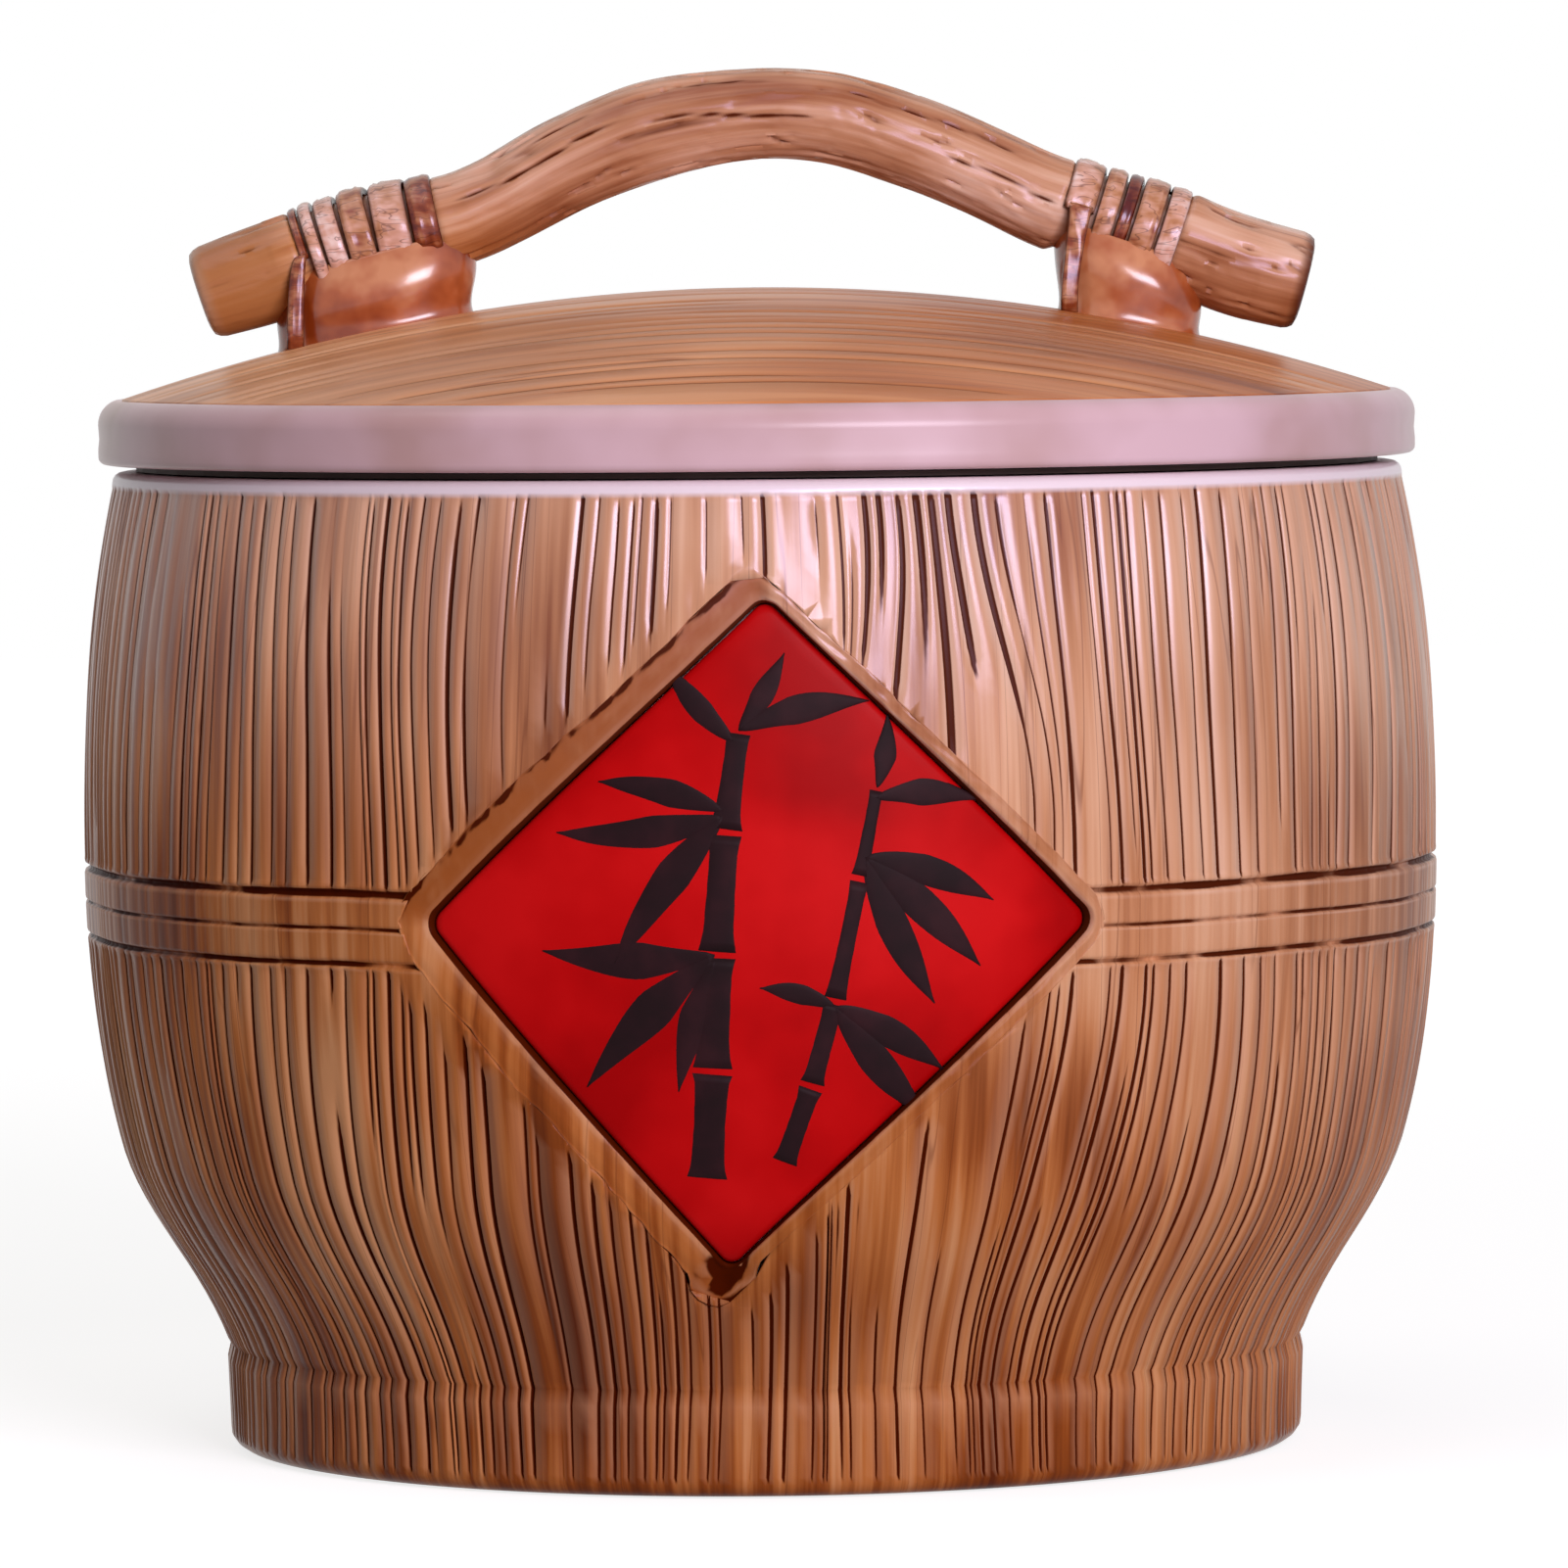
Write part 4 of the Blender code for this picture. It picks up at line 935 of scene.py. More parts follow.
def borderPoint(point, normal, share, left, right, groove, lip):
    # A point of the border's section with its groove, lip and wear-and-shade marks: the lip is a painted
    # highlight, and the upper left sides are painted in shade
    side = rightward(normal)
    above = eased(-0.2, 0.4, normal.y) * (1.0 - side)
    chip = chipShare(point)
    rough = noiseAt(point.x * 260, point.y * 260, share * 3)
    rough += 0.6 * noiseAt(point.x * 700, point.y * 700, share * 5)
    clear = diamond["joint"] if share < 0.05 else 0.0003
    spot = point + normal * (clear + share * (borderWidth(point, normal) - clear))
    depth = left + (right - left) * side
    if 0.1 < share < 0.99:
        depth += rough * (0.00010 + 0.00026 * side + 0.0005 * chip) + 0.0007 * chip
    # On the upper left sides the bevel is painted in shade: a dark line along its outer edge, little of the
    # lip's painted highlight, and more of the wear colour. The chip's light glints are painted highlights.
    outer = above * (0.45 + 0.9 * max(rough, -0.4)) if share > 0.7 else 1.0
    groove = max(groove * outer, chip * (0.30 + 1.6 * rough) if share > 0.08 else 0.0)
    lip = lip * (1.0 - 0.75 * above) * (1.0 + 0.8 * rough) + chip * max(-rough - 0.15, 0.0) * 2.5
    wearAndShade = max((0.10 + 0.85 * above + 0.25 * side) * (1.0 + 0.35 * rough), 0.9 * chip)
    marks = [min(max(mark, 0.0), 1.0) for mark in (groove, lip, wearAndShade)]
    return onBelly(spot.x, spot.y, max(depth, 0.0002)), *marks


def buildBorder():
    # The carved edge of the recess, from the pot's skin down to the red face: a smooth brown bevel on
    # the upper left, browned as painted shade, a paler one below it with a painted highlight along its lip,
    # and on the right ones little more than a dark crevice
    rows = []
    for section in borderSection + borderSection[:1]:
        rows.append([borderPoint(point, normal, *section) for point, normal in redOutline])
    border = lofted("diamondBorder", [rows], potGlaze, ("groove", "lip", "wearAndShade"), caps=False)
    storeUv(border, potFollow)
    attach(border, "jar")


def faceDepth(u, v):
    # Depth of the red face: a slight crown over the diamond's middle
    reach = abs(u - diamondMiddle.x) / 0.067 + abs(v - diamondMiddle.y) / 0.064
    return diamond["faceDepth"] - diamond["crown"] * (1.0 - min(reach, 1.0) ** 2)


def plaqueRing(share, drop, crown=True):
    ring = []
    for point, normal in redOutline:
        spot = diamondMiddle.lerp(point - normal * diamond["joint"], share)
        depth = faceDepth(spot.x, spot.y) if crown else diamond["faceDepth"]
        ring.append(onBelly(spot.x, spot.y, depth + drop))
    return ring


def buildPlaque():
    # Rings out over the red face, over its edge, and in again along its back, which follows the
    # belly too and so stays inside the pot's wall
    rings = [plaqueRing(share, 0.0) for share in spaced(0.04, 0.97, 26)]
    rings += [plaqueRing(share, drop) for share, drop in ((0.99, 0.00012), (1.0, 0.0006))]
    rings += [plaqueRing(share, diamond["thick"], False) for share in spaced(1.0, 0.04, 12)]
    plaque = lofted("redPlaque", [rings], redGlaze)
    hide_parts("diamond_plaque")
    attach(plaque, "jar")


buildBorder()
buildPlaque()
print("stage: diamond done")


# Ink bamboo painted on the plaque

inkSprig = {
    # base u, base v, heading in degrees, length, width, bend; millimetres
    "leaves": (
        (-7, 22, 196, 33, 6.4, -14), (-7, 22, 226, 35, 7.2, 8), (-7, 23, 158, 25, 5.6, 12),
        (-4, 38, 24, 26, 5.8, -16), (-4, 38, 52, 17, 4.6, 8), (-5, 36, 140, 19, 5.0, -10),
        (-9, -4, 188, 34, 7.0, -12), (-9, -4, 218, 36, 7.6, 8), (-9, -5, 247, 26, 6.0, 8),
        (20, 14, -8, 27, 6.4, -14), (20, 14, -38, 31, 7.2, -6), (20, 14, -70, 31, 7.0, 8),
        (22.5, 27, 70, 14, 4.4, 14), (22, 25, 12, 21, 5.2, -18), (14, -14, -22, 25, 6.2, -10),
        (14, -14, -55, 28, 6.8, 8), (14, -14, 155, 15, 4.2, 14),
    ),
    # stalk joints from low to high: u, v, width
    "stalks": (
        ((-11.5, -47, 7.0), (-9.8, -26, 6.8), (-8.6, -4, 6.4), (-6.8, 19, 5.6), (-4.0, 38, 4.2)),
        ((4.0, -44, 4.4), (9.5, -29, 4.2), (14.0, -13, 3.8), (19.0, 10, 3.2), (22.5, 27, 2.4)),
    ),
    "lift": 0.00016,           # the strokes stand this far off the red face
    # a stroke's section: share of its half width, and whether the point lies under the face
    "section": tuple((share, False) for share in (-1.0, -0.92, -0.5, 0.0, 0.5, 0.92, 1.0))
    + ((0.9, True), (-0.9, True)),
    "leafSteps": 22, "stalkSteps": 12, "widest": 0.42,
}

def strokeRings(spine):
    # Rings of a brush stroke along (u, v, half width) points in millimetres
    rings = []
    for i, (u, v, half) in enumerate(spine):
        ahead, behind = spine[min(i + 1, len(spine) - 1)], spine[max(i - 1, 0)]
        side = Vector((-(ahead[1] - behind[1]), ahead[0] - behind[0])).normalized()
        ring = []
        for share, under in inkSprig["section"]:
            x, y = (u + side.x * share * half) / 1000, (v + side.y * share * half) / 1000
            lift = -0.0003 if under else inkSprig["lift"] * (1.0 - abs(share) ** 6) - 0.00004
            ring.append(onBelly(x, y, faceDepth(x, y) - lift))
        rings.append(ring)
    return rings


def leafSpine(u, v, heading, length, width, bend):
    # A leaf swells to its widest soon after its base and runs out to a point
    steps, widest = inkSprig["leafSteps"], inkSprig["widest"]
    x, y, a = u, v, math.radians(heading)
    spine = []
    for t in spaced(0, 1, steps):
        swell = (t / widest) ** 0.62 if t < widest else max(1.0 - ((t - widest) / (1 - widest)) ** 1.7, 0.0)
        half = width / 2 * swell * (1 + 0.06 * math.sin(9 * t + u))
        spine.append((x, y, max(half, 0.12)))
        x += math.cos(a) * length / steps
        y += math.sin(a) * length / steps
        a += math.radians(bend * 1.6) / steps
    return spine


def stalkSpine(low, high, rng):
    # A length of stalk between two joints, a little flared at both
    (u0, v0, w0), (u1, v1, w1) = low, high
    run = math.hypot(u1 - u0, v1 - v0)
    spine = []
    for t in spaced(0, 1, inkSprig["stalkSteps"]):
        s = 0.6 / run + t * (1 - 1.2 / run)
        flare = 1.0 + 0.22 * (abs(2 * t - 1) ** 6) - 0.05 * math.sin(math.pi * t)
        half = (w0 + (w1 - w0) * t) / 2 * flare * (1 + 0.02 * rng.uniform(-1, 1))
        spine.append((u0 + (u1 - u0) * s, v0 + (v1 - v0) * s, half))
    return spine


def buildSprig():
    rng = random.Random(5)
    spines = [leafSpine(*leaf) for leaf in inkSprig["leaves"]]
    for joints in inkSprig["stalks"]:
        spines += [stalkSpine(low, high, rng) for low, high in zip(joints, joints[1:])]
    sprig = lofted("inkBamboo", [strokeRings(spine) for spine in spines], inkGlaze)
    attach(sprig, "jar")


buildSprig()
print("stage: sprig painted")


# Lid

lidSizes = {
    "height": 0.1956, "radius": 0.1312, "bandHeight": 0.0130, "bandEdge": 0.0050, "footEdge": 0.0015,
    "rise": 0.021, "wall": 0.007, "skirt": 0.1136, "skirtWall": 0.005, "skirtDepth": 0.012,
    "skirtEase": 0.0008, "skin": 0.0003, "steps": 192,
}
domeRadius = lidSizes["radius"] - lidSizes["bandEdge"]
domeTop = lidSizes["height"] + lidSizes["bandHeight"] + lidSizes["rise"]
domeCarving = {
    "Grooves": 44, "Depth": 0.0006, "Half Width": 0.0007, "Wobble": 0.0034, "Across": 96, "Seed": 4,
    "Radius": domeRadius - 0.0002, "Top": domeTop - 0.0002, "Rise": lidSizes["rise"], "Glaze": lidGlaze,
}


def domeHeight(radius):
    return domeTop - lidSizes["rise"] * (radius / domeRadius) ** 2


def buildLidShell():
    # The pale glazed band, its underside and skirt; its dome lies just under the grained cap
    base, skin = lidSizes["height"], lidSizes["skin"]
    edge, top, foot = lidSizes["bandEdge"], lidSizes["bandHeight"], lidSizes["footEdge"]
    outer, skirt, ease = lidSizes["radius"] - skin, lidSizes["skirt"], lidSizes["skirtEase"]
    inner, depth = skirt - lidSizes["skirtWall"], base - lidSizes["skirtDepth"]
    outline = [(r, domeHeight(r) - 0.0012) for r in spaced(0.0, domeRadius - 0.0012, 16)]
    outline += [(domeRadius - 0.0004, base + top - 0.0006)]
    outline += [(r - skin, z + base - 0.0001) for r, z in arcPoints(domeRadius, top - edge, edge, 72, 0, 8)]
    outline += [(outer - 0.0002, base + 0.0050), (outer, base + 0.0030)]
    outline += [(r - skin, z + base) for r, z in arcPoints(lidSizes["radius"] - foot, foot, foot, 0, -90, 4)]
    outline += [(skirt, base), (skirt, depth + ease), (skirt - ease, depth)]
    outline += [(inner + ease, depth), (inner, depth + ease)]
    outline += [(r, domeHeight(r) - lidSizes["wall"]) for r in spaced(inner, 0.0, 12)]
    turns = [(math.cos(a), math.sin(a)) for a in spaced(0.0, math.tau, lidSizes["steps"])[:-1]]
    rings = [[(r * east, r * north, z) for east, north in turns] for r, z in outline]
    shell = lofted("lidShell", [rings], bandGlaze, caps=False)
    for vert in shell.data.vertices:
        # the band is a little uneven, as wet clay leaves the hand
        if math.hypot(vert.co.x, vert.co.y) > domeRadius and vert.co.z > base + 0.001:
            share = 1.0 - 0.0010 * (0.5 + 0.5 * noiseAt(vert.co.x * 22, vert.co.y * 22, vert.co.z * 60))
            vert.co.x *= share
            vert.co.y *= share
    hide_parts("lid")
    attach(shell, "lid")


def grainedDomeTree():
    # Rows run straight over the dome, three to a groove, and end on its round edge
    tree, given, result = newTree("grainedDome", {"Geometry": None, **domeCarving})
    grooves, radius, seed = given["Grooves"], given["Radius"], given["Seed"]
    grid, column, row = numberedGrid(tree, given["Across"], grooves * 3.0 + 1.0)
    share = column / (given["Across"] - 1.0) * 2.0 - 1.0
    inner = (share * 1.04).math("MINIMUM", 1.0).math("MAXIMUM", -1.0)
    groove = (row / 3.0).math("FLOOR")
    part = row - groove * 3.0

    def chordAt(level):
        return (radius * radius - level * level).math("MAXIMUM", 0.0).math("SQRT")

    lines = []
    for which in (groove, groove + 1.0):
        amid = which.math("GREATER_THAN", 0.5) * (which - grooves).math("LESS_THAN", -0.5)
        level = (which + drawn(-0.3, 0.3, which, seed) * amid) * (radius * 2.0 / grooves) - radius
        along = chordAt(level) * inner
        wander = wovenNoise((along, which, seed), (17.0, 0.33, 1.0), seed) - 0.5
        fading = wovenNoise((along, which, seed), (11.0, 1.7, 1.0), seed + 8.5)
        level = level + wander * given["Wobble"] * amid * (1.0 - inner * inner)
        strength = drawn(0.25, 1.0, which, seed + 1.0) * fading.ranged(0.40, 0.56) * amid
        # at the front and back edges a row close to the rim keeps the outline round
        beside = given["Half Width"] * amid + (radius * 0.4 / grooves) * (1.0 - amid)
        lines.append((level, strength, beside))
    (level, strength, beside), (nextLevel, nextStrength, nextBeside) = lines
    level = pickBy(part, level, level + beside, nextLevel - nextBeside)
    deep = pickBy(part, strength * given["Depth"] * -1.0, 0.0, 0.0)
    along = chordAt(level) * inner
    ratio = (along * along + level * level) / (radius * radius)
    amid = ratio.ranged(0.93, 0.985, 1.0, 0.0, "LINEAR")
    tuck = share.math("ABSOLUTE").math("GREATER_THAN", 0.99)
    height = given["Top"] - ratio * given["Rise"] + deep * amid - tuck * 0.0016
    place = addNode(tree, "ShaderNodeCombineXYZ", {"X": along, "Y": level, "Z": height})
    # the groove takes the stain, and the lips beside it a painted highlight
    marks = {"groove": pickBy(part, strength, 0.0, 0.0) * amid,
             "lip": pickBy(part, 0.0, strength, nextStrength) * amid}
    return finishTree(tree, grid, place, marks, given["Glaze"], result)


def buildDome():
    item = meshObject("domeSeed", [(0, 0, 0)], [])
    dome = settled("lidGrain", item, grainedDomeTree(), domeCarving)
    storeUv(dome, lambda polygon, point: (point.y, point.x))
    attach(dome, "lid")
    print("stage: lid done,", len(dome.data.polygons), "faces on the dome")


buildLidShell()
buildDome()


# Handle: branch, lugs and lashings

branch = {
    # place along X, height over the dome's top, bark radius
    "line": (
        (-0.1105, -0.0008, 0.0093), (-0.0980, 0.0032, 0.0100), (-0.0780, 0.0097, 0.0100),
        (-0.0590, 0.0141, 0.0095), (-0.0500, 0.0179, 0.0093), (-0.0360, 0.0253, 0.0097),
        (-0.0200, 0.0313, 0.0101), (0.0000, 0.0343, 0.0092), (0.0150, 0.0336, 0.0093),
        (0.0300, 0.0289, 0.0093), (0.0450, 0.0225, 0.0092), (0.0580, 0.0166, 0.0094),
        (0.0700, 0.0126, 0.0098), (0.0840, 0.0078, 0.0102), (0.0970, 0.0030, 0.0102),
        (0.1095, -0.0004, 0.0099),
    ),
    "girth": 0.0098, "stations": 420, "sides": 84, "fold": 0.0009, "skin": 0.0002,
    "necks": ((-0.0762, 0.0121), (0.0725, 0.0099)),      # middle and half length of each lashing
    # knots: place along X, angle from the top towards the front, reach, height
    "knots": ((0.0635, 0.9, 0.0040, 0.0008), (0.0675, 1.3, 0.0030, -0.0009), (0.0845, 0.5, 0.0040, 0.0012),
              (-0.0500, 0.8, 0.0030, -0.0008), (0.0030, 0.7, 0.0045, 0.0005), (-0.0930, 1.1, 0.0060, 0.0004)),
    # long checks in the bark: from and to along X, angle from the top towards the front, depth
    "checks": ((-0.0630, -0.0230, 1.22, 0.0008), (0.0130, 0.0540, 0.86, 0.0008),
               (-0.0230, 0.0160, 1.52, 0.0006), (0.0360, 0.0620, 1.62, 0.0006),
               (0.0860, 0.0985, 0.66, 0.0009), (-0.0480, -0.0290, 0.72, 0.0006),
               (-0.0140, 0.0060, 0.80, 0.0005), (0.0400, 0.0600, 0.35, 0.0005)),
    "checkWidth": 0.00036,
    # rows near a sawn end, how far in they lie there, and where the even rows begin
    "tips": (0.0001, 0.0005, 0.0014), "bevels": (0.0022, 0.0009, 0.0003), "body": 0.0026,
}

def branchKnots(column):
    line = branch["line"]
    knots = []
    for i, point in enumerate(line):
        before, after = line[max(i - 1, 0)], line[min(i + 1, len(line) - 1)]
        knots.append((point[0], point[column], (after[column] - before[column]) / (after[0] - before[0])))
    return knots


heightKnots, barkKnots = branchKnots(1), branchKnots(2)


def branchHeight(x):
    return smoothLine(heightKnots, x)


def branchFrame(x):
    # Middle of the branch at a place along X, its direction there and the way up from it
    along = Vector((1.0, 0.0, slopeOf(branchHeight, x, 0.0004))).normalized()
    return Vector((x, 0.0, branchHeight(x) + domeTop)), along, Vector((-along.z, 0.0, along.x))


def barkApart(a, angle):
    # Arc length between two angles on a branch of middling girth
    return branch["girth"] * ((a - angle + math.pi) % math.tau - math.pi)


def barkOffset(x, a):
    # How far the bark lies off its mean radius, and how much of a dark fold there is, at an angle
    # from the top towards the front
    up, front = math.cos(a), math.sin(a)
    fine = noiseAt(up * 9.5, front * 9.5, x * 55 + 2)
    swell = noiseAt(up * 1.2, front * 1.2, x * 38)
    crease = max(0.0, 1.0 - abs(noiseAt(up * 3.4, front * 3.4, x * 24 + 5)) * 9.0)
    crease = crease * crease * eased(-0.25, 0.25, noiseAt(up * 2, front * 2, x * 30 + 9))
    small = max(0.0, 1.0 - abs(fine) * 7.0) ** 2
    offset = 0.0005 * swell + 0.0002 * fine - branch["fold"] * crease - 0.00025 * small
    for place, angle, reach, height in branch["knots"]:
        offset += height * math.exp(-(math.hypot(x - place, barkApart(a, angle)) / reach) ** 2)
    dark = crease * 0.7 + small * 0.08
    for start, end, angle, depth in branch["checks"]:
        if start < x < end:
            apart = barkApart(a, angle + 0.22 * noiseAt(x * 60, angle * 7, 3.0))
            window = min(1.0, 5.0 * (x - start) / (end - start), 5.0 * (end - x) / (end - start))
            hit = window * math.exp(-(apart / branch["checkWidth"]) ** 2)
            offset -= depth * hit
            dark += 1.1 * hit
    return offset, min(1.6, dark)


def branchRow(x, bevel):
    # A ring of the bark's points, each with its groove, lip and wear-and-shade marks (here the last is only
    # real wear, on the left stub)
    left, right = branch["line"][0][0], branch["line"][-1][0]
    centre, _, above = branchFrame(x)
    bark = smoothLine(barkKnots, x) - branch["skin"] - bevel
    neck = max(1.0 - eased(half, half + 0.0025, abs(x - middle)) for middle, half in branch["necks"])
    lip = 1.0 - eased(0.0, 0.0035, x - left)
    wearAndShade = 0.85 * (1.0 - eased(0.014, 0.020, x - left))
    row = []
    for i in range(branch["sides"]):
        a = math.tau * i / branch["sides"]
        offset, fold = barkOffset(x, a)
        offset = offset * (1 - neck) - 0.0012 * neck
        if x > 0.1 or x < -0.095:
            offset *= 0.6
        # the crest of the arch is smooth from handling
        if abs(x) < 0.03 and math.cos(a) > 0.5:
            offset = min(offset, 0.0)
        point = centre + (bark + offset) * (math.cos(a) * above + Vector((0.0, -math.sin(a), 0.0)))
        # the groove mark darkens the bark's folds and checks and its right end, and under the windings it
        # paints the shade that shows between the strands
        groove = max(fold * (1 - 0.5 * neck), 0.55 * neck, 0.9 * (1.0 - eased(0.0, 0.0040, right - x)))
        row.append((point, groove * 0.5, lip, wearAndShade))
    return row


def branchFollow(polygon, point):
    # Unrolled place of a corner: arc length round the branch, and place along X
    turns = []
    for spot in (point, polygon.center):
        centre, _, above = branchFrame(spot.x)
        turns.append(math.atan2(-spot.y, (spot - centre).dot(above)))
    return unwound(*turns) * branch["girth"], point.x


def buildBranch():
    left, right = branch["line"][0][0], branch["line"][-1][0]
    tips, bevels = branch["tips"], branch["bevels"]
    places = [(left + tip, bevel) for tip, bevel in zip(tips, bevels)]
    places += [(x, 0.0) for x in spaced(left + branch["body"], right - branch["body"], branch["stations"])]
    places += [(right - tip, bevel) for tip, bevel in zip(tips[::-1], bevels[::-1])]
    rows = [branchRow(x, bevel) for x, bevel in places]
    item = lofted("barkBranch", [rows], barkGlaze, ("groove", "lip", "wearAndShade"))
    item.data.materials.append(sawnGlaze)
    for polygon in item.data.polygons:
        if len(polygon.vertices) > 4:
            polygon.material_index = 1
    item.data.set_sharp_from_angle(angle=math.radians(50))
    storeUv(item, branchFollow)
    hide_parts("handle_branch")
    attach(item, "lid")


lugs = {
    "left": {"x": -0.0757, "width": 0.0372, "depth": 0.0220, "web": 1.0, "node": "left_lug"},
    "right": {"x": 0.0742, "width": 0.0264, "depth": 0.0220, "web": -1.0, "node": "right_lug"},
}
lugShape = {
    "flare": 0.0022,           # how far the foot runs out over the dome
    "bulge": 0.0021,           # how far the pad swells at half height
    "web": 0.0026,             # how far the clay is drawn up under the arch, on the side facing it
    "square": 2.3,             # 2 is an ellipse in plan, more is squarer
    "sunk": 0.0012,            # the foot lies this far inside the dome
    "under": 0.0030,           # the top ends this far under the branch's middle line
    "sides": 72, "rows": 30,
}

def buildLug(side):
    # A thumbed pad of clay between dome and branch: swollen, with a foot that runs out on the dome
    lug, shape = lugs[side], lugShape
    centre, along, _ = branchFrame(lug["x"])

    def squared(value):
        return math.copysign(abs(value) ** (2 / shape["square"]), value)

    rings = []
    for share in spaced(0, 1, shape["rows"]):
        spread = shape["flare"] * (1 - share) ** 8 + shape["bulge"] * (math.sin(math.pi * share) - 0.45)
        web = shape["web"] * share ** 3
        ring = []
        for i in range(shape["sides"]):
            a = math.tau * i / shape["sides"]
            across = squared(math.cos(a))
            x = (lug["width"] / 2 + spread) * across + web * max(across * lug["web"], 0.0) * lug["web"]
            y = (lug["depth"] / 2 + spread) * squared(math.sin(a))
            uneven = 1.0 + 0.030 * noiseAt(x * 90, y * 90, share * 2.2 + lug["x"] * 50)
            x, y = lug["x"] + x * uneven, y * uneven
            foot = domeHeight(math.hypot(x, y)) - shape["sunk"]
            top = centre.z - shape["under"] + along.z / along.x * (x - lug["x"])
            ring.append(Vector((x, y, foot + share * (top - foot))))
        rings.append(ring)
    item = lofted(side + "LugPad", [rings], lugGlaze)
    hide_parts(lug["node"])
    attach(item, "lid")


lashing = {
    # per side: the winding's middle, its turns, and for each strand seen in front its share of the
    # winding's length, tone from dark red to pale pink, the pale end partly painted highlight, and
    # height over the bark in millimetres
    "left": {"middle": -0.0762, "turns": 5.5, "node": "left_binding", "strands": (
        (1.7, 0.22, 0.6), (2.5, 0.74, 0.9), (3.8, 0.80, 0.7), (5.0, 0.50, 0.9), (6.4, 0.68, 0.8),
        (5.0, 0.20, 0.6))},
    "right": {"middle": 0.0725, "turns": 4.5, "node": "right_binding", "strands": (
        (6.2, 0.70, 0.9), (4.0, 0.60, 0.7), (2.8, 0.08, 0.6), (5.0, 0.55, 0.9), (4.2, 0.74, 0.7))},
    "pitch": 0.0044, "ends": 0.0034, "perTurn": 44, "gap": 0.00012, "thick": 0.0012, "tailWide": 0.0017,
    "tailTone": 0.30, "tailLean": 0.0020, "tailSpread": 0.0024, "tailSteps": 14,
}
cordWork = {"Sides": 26, "Fibres": 0.00025, "Fineness": 1300.0, "Seed": 3, "Glaze": cordGlaze}


def vectorMath(operation, first, second):
    links = {"Vector": first, "Scale": second} if operation == "SCALE" else {0: first, 1: second}
    return Field(addNode(first.tree, "ShaderNodeVectorMath", links, operation=operation))


def rounded(value, power):
    # The value drawn towards its sign, which squares a circle's section
    return value.math("SIGN") * value.math("ABSOLUTE").math("POWER", power)


def strandTree():
    # Sweeps a flat strand along the path's points, each with its own width, thickness and tone;
    # fibres run along it
    tree, given, result = newTree("woundStrand", {"Path": None, **cordWork})
    grid, column, row, sampled = sweptGrid(tree, given["Path"], given["Sides"] + 1.0,
                                           ("position", "along", "outward"), ("wide", "thick", "tone"))
    turn = column / given["Sides"] * math.tau
    across, outer = rounded(turn.math("COSINE"), 0.70), rounded(turn.math("SINE"), 0.55)
    sideways, tone, thick = across * sampled["wide"], sampled["tone"], sampled["thick"]
    fibre = wovenNoise((sideways * given["Fineness"] + tone * 40.0, row * 0.035, given["Seed"]),
                       (1.0, 1.0, 1.0), given["Seed"] + 2.5)
    lift = outer * (thick + (fibre - 0.6) * given["Fibres"] * 4.0 * thick * 1000.0)
    place = vectorMath("ADD", vectorMath("SCALE", sampled["along"], sideways),
                       vectorMath("SCALE", sampled["outward"], lift))
    place = vectorMath("ADD", place, sampled["position"])
    marks = {"tone": tone, "fibre": fibre, "groove": across.math("ABSOLUTE").math("POWER", 9.0)}
    return finishTree(tree, grid, place, marks, given["Glaze"], result)


def strandPoint(own, turn):
    # Point on the winding, the branch's direction there, the way out of it, half width, thickness
    # and tone: rings in front that step aside to the next one behind the branch
    strands = own["strands"]
    length = own["turns"] * lashing["pitch"] + lashing["ends"]
    unit = length / sum(s[0] for s in strands)
    low = min(int(turn), len(strands) - 1)
    high = min(low + 1, len(strands) - 1)
    share = eased(0.15, 0.85, turn - low)
    centres = []
    reach = own["middle"] - length / 2
    for strand in strands:
        centres.append(reach + strand[0] * unit / 2)
        reach += strand[0] * unit
    x = centres[low] + (centres[high] - centres[low]) * share
    width, tone, crest = (strands[low][k] + (strands[high][k] - strands[low][k]) * share for k in range(3))
    a = math.tau * turn - math.pi / 2
    centre, along, above = branchFrame(x)
    outward = math.cos(a) * above + Vector((0.0, math.sin(a), 0.0))
    radius = smoothLine(barkKnots, x) + crest / 1000 - lashing["thick"]
    wide = width * unit / 2 - lashing["gap"]
    return centre + radius * outward, along, outward, wide, lashing["thick"], tone


def strandTail(top, lean):
    # From the dome up to the winding's end, beside the lug
    place, along, outward, wide, thick, tone = top
    foot = Vector((place.x + lean, place.y + math.copysign(lashing["tailSpread"], place.y), 0.0))
    foot.z = domeHeight(math.hypot(foot.x, foot.y)) - 0.0004
    start, up = foot + Vector((0.0, 0.0, 0.0030)), Vector((0.0, 0.0, 1.0))
    pull = (place - start).length
    points = [foot]
    for i in range(lashing["tailSteps"]):
        leaving, rising, arriving, turning = lineWeights(i / lashing["tailSteps"])
        point = leaving * start + arriving * place + rising * pull * up
        points.append(point + turning * pull * along.cross(outward))
    rows = []
    for i, point in enumerate(points):
        share = i / len(points)
        wideHere, toneHere = (end + (full - end) * share ** 3 for end, full in
                              ((lashing["tailWide"], wide), (lashing["tailTone"], tone)))
        axis = Vector((1.0, 0.0, 0.0)).lerp(along, share).normalized()
        rows.append((point, axis, outward, wideHere, thick, toneHere))
    return rows


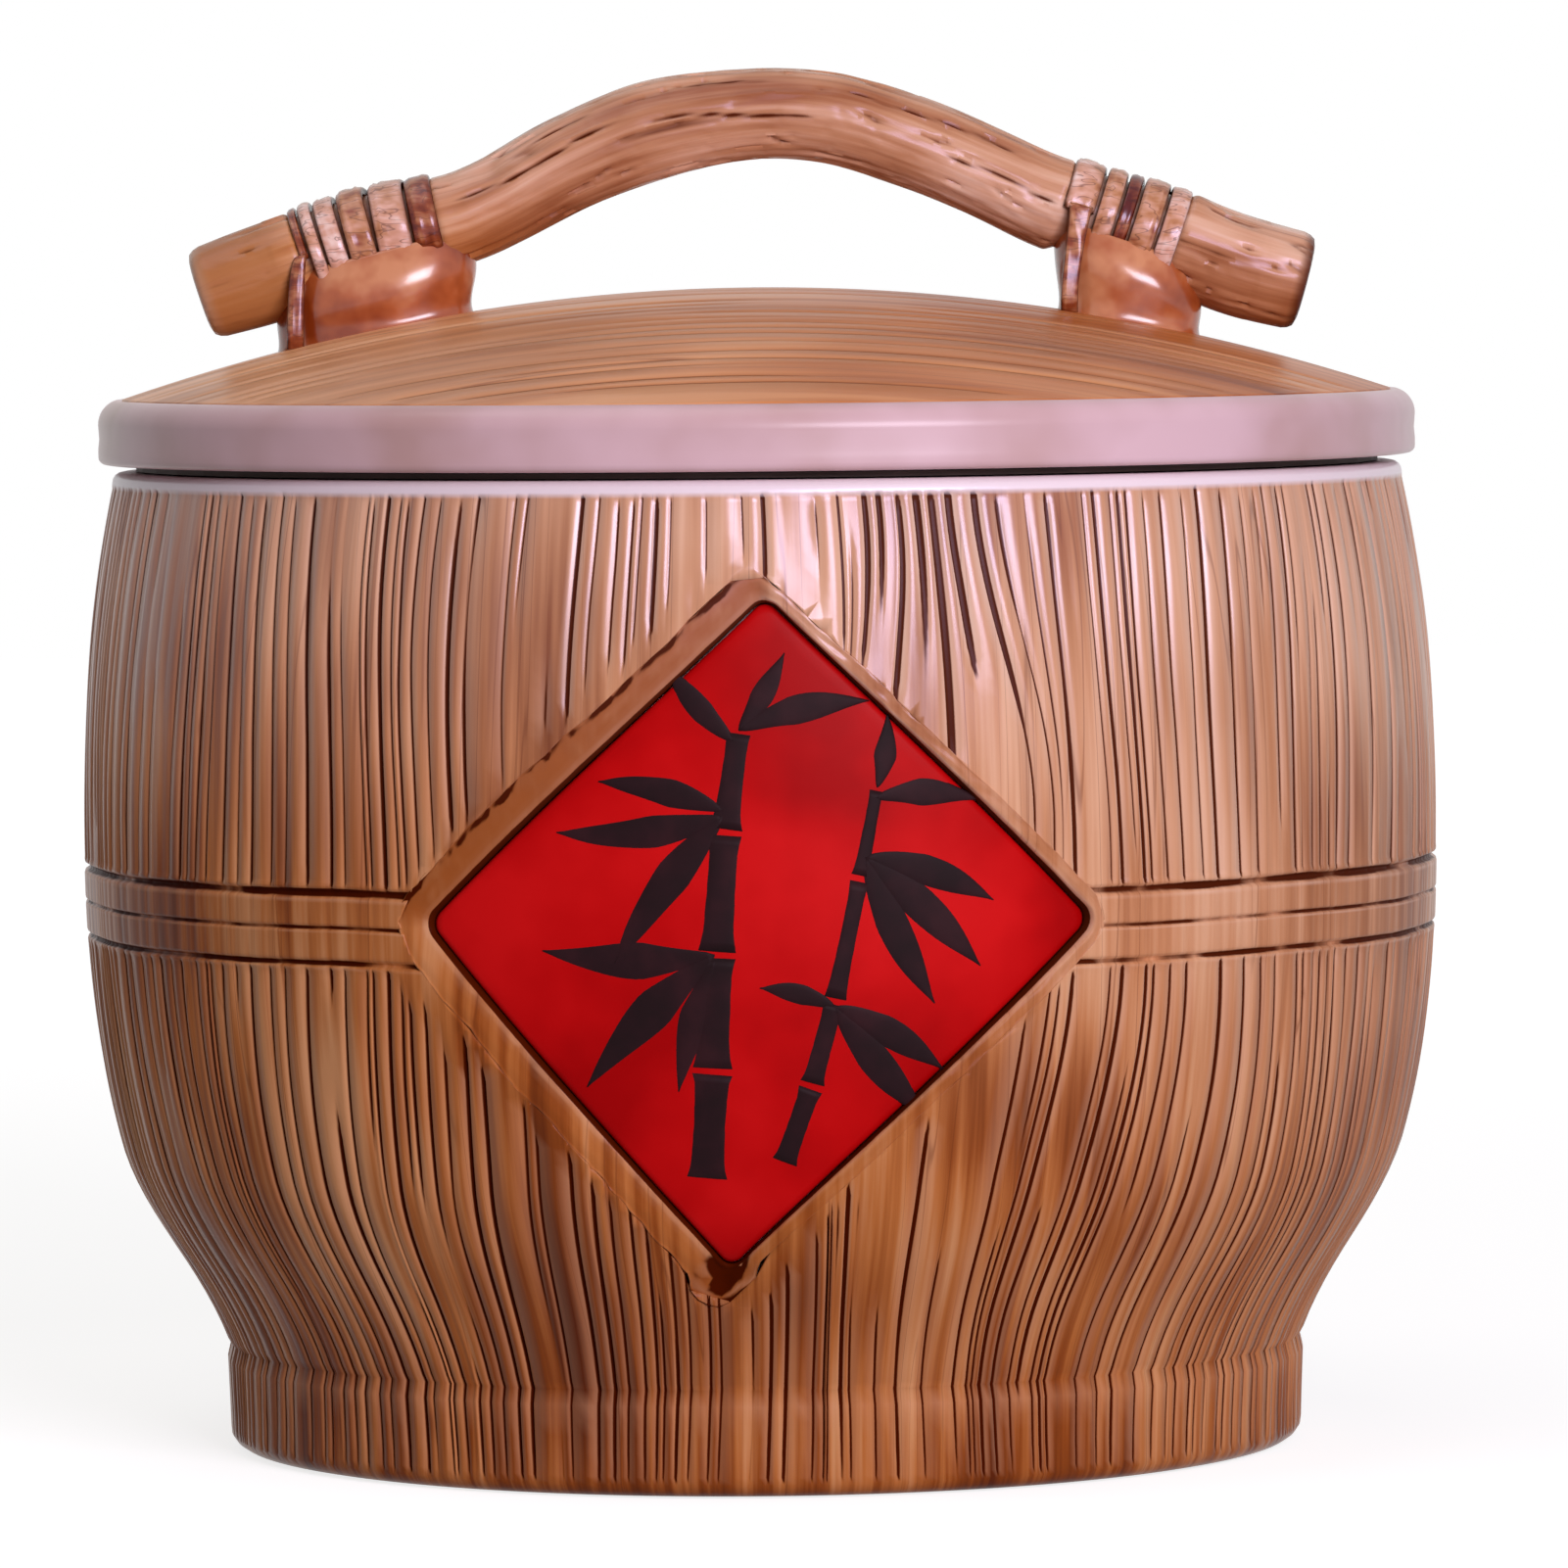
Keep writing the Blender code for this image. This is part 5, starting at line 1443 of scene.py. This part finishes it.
def buildLashing(side, tree):
    own = lashing[side]
    steps = round(own["turns"] * lashing["perTurn"])
    rows = [strandPoint(own, turn) for turn in spaced(0, own["turns"], steps)]
    lean = lashing["tailLean"]
    rows = strandTail(rows[0], -lean) + rows + strandTail(rows[-1], lean)[::-1]
    first, last = ((*row[:3], 0.0, 0.0, row[5]) for row in (rows[0], rows[-1]))
    item = pathObject(side + "Path", [first, *rows, last], ("along", "outward", "wide", "thick", "tone"))
    cord = settled(side + "Lashing", item, tree, cordWork)
    tidyNormals(cord)
    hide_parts(own["node"])
    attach(cord, "lid")


buildBranch()
cordTree = strandTree()
for side in ("left", "right"):
    buildLug(side)
for side in ("left", "right"):
    buildLashing(side, cordTree)
print("stage: handle done")

# the seal ring in its dark silicone, painted shade for the gap under the lid
nodes["lid_seal_ring"].data.materials.clear()
nodes["lid_seal_ring"].data.materials.append(paintedShadeSilicone)


# Floor, light and camera

def seenAsWhite(tree):
    # 1 for camera, mirror and see-through rays, which meet the plain background; 0 for the light's
    paths = addNode(tree, "ShaderNodeLightPath")
    seen = Field(paths, "Is Camera Ray").math("MAXIMUM", Field(paths, "Is Glossy Ray"))
    return seen.math("MAXIMUM", Field(paths, "Is Transmission Ray"))


studio = {
    "floorHalf": 4.0, "floorDrop": 0.0003, "floorColour": "#b6b5b5", "worldStrength": 0.10,
    "worldColour": "#f7f5f8",
    # the floor's own white for the camera: less round the jar, where its shadow falls
    "glowNear": 0.79, "glowFar": 0.99, "near": 0.30, "far": 1.60,
}

def buildStage():
    size = studio["floorHalf"]
    corners = [(x * size, y * size, -studio["floorDrop"]) for x, y in ((-1, -1), (1, -1), (1, 1), (-1, 1))]
    material, tree, shader = newMaterial("studioPaper", 0.9, 0.0)
    away = Field(addNode(tree, "ShaderNodeVectorMath", {0: objectPlace(tree)}, operation="LENGTH"), "Value")
    level = away.ranged(studio["near"], studio["far"], studio["glowNear"], studio["glowFar"], "LINEAR")
    glow = addNode(tree, "ShaderNodeEmission", {"Strength": seenAsWhite(tree) * level})
    fill(shader, {"Base Color": hexToLinear(studio["floorColour"])})
    both = addNode(tree, "ShaderNodeAddShader", {0: shader, 1: glow})
    fill(tree.nodes["Material Output"], {"Surface": both})
    floor = meshObject("studioFloor", corners, [(0, 1, 2, 3)], material)
    world = bpy.data.worlds.new("studioWorld")
    world.use_nodes = True
    bpy.context.scene.world = world
    tree = world.node_tree
    soft = tree.nodes["Background"]
    fill(soft, {"Color": hexToLinear(studio["worldColour"]), "Strength": studio["worldStrength"]})
    bright = addNode(tree, "ShaderNodeBackground", {"Color": (1.0, 1.0, 1.0, 1.0), "Strength": 1.0})
    mix = addNode(tree, "ShaderNodeMixShader", {0: seenAsWhite(tree), 1: soft, 2: bright})
    fill(tree.nodes["World Output"], {"Surface": mix})


def addLamp(name, place, target, size, power, colour):
    light = bpy.data.lights.new(name, "AREA")
    light.shape = "RECTANGLE"
    light.size, light.size_y = size
    light.energy = power
    light.color = hexToLinear(colour)[:3]
    item = linked(name, light)
    item.location = place
    item.rotation_euler = (Vector(target) - Vector(place)).to_track_quat("-Z", "Y").to_euler()


cameraFit = {
    # fitted to the photograph: distance, eye height, focal length in pixels of a 1601 pixel frame,
    # the row and column where the jar's foot centre falls, and the roll in degrees
    "distance": 2.1, "height": 0.239, "focal": 10765.0, "row": 1469.0, "column": 776.0, "roll": 0.55,
    "frame": 1601, "sensor": 36.0,
}

def buildCamera():
    fit = cameraFit
    middle = fit["frame"] / 2
    data = bpy.data.cameras.new("viewCamera")
    data.sensor_width = fit["sensor"]
    data.lens = fit["focal"] / fit["frame"] * data.sensor_width
    camera = linked("viewCamera", data)
    horizon = fit["row"] - fit["focal"] * fit["height"] / fit["distance"]
    pitch = math.atan((middle - horizon) / fit["focal"])
    yaw = math.atan((middle - fit["column"]) / fit["focal"])
    level = Vector((math.sin(yaw), math.cos(yaw), 0.0))
    forward = (level * math.cos(pitch) + Vector((0.0, 0.0, -math.sin(pitch)))).normalized()
    right = forward.cross(Vector((0.0, 0.0, 1.0))).normalized()
    up = right.cross(forward)
    roll = math.radians(fit["roll"])
    rolledRight = right * math.cos(roll) - up * math.sin(roll)
    rolledUp = up * math.cos(roll) + right * math.sin(roll)
    matrix = Matrix((rolledRight, rolledUp, -forward)).transposed().to_4x4()
    matrix.translation = Vector((0.0, -fit["distance"], fit["height"]))
    camera.matrix_world = matrix
    bpy.context.scene.camera = camera


buildStage()
addLamp("keySoftbox", (0.56, -1.44, 0.58), (0.0, 0.0, 0.14), (0.80, 0.42), 22.0, "#f6efff")
addLamp("topSoftbox", (-0.3, -0.2, 1.4), (0.0, 0.0, 0.2), (1.0, 1.0), 5.0, "#fffaf4")
buildCamera()
bpy.context.scene.view_settings.view_transform = "Standard"
print("stage: floor, light and camera done")
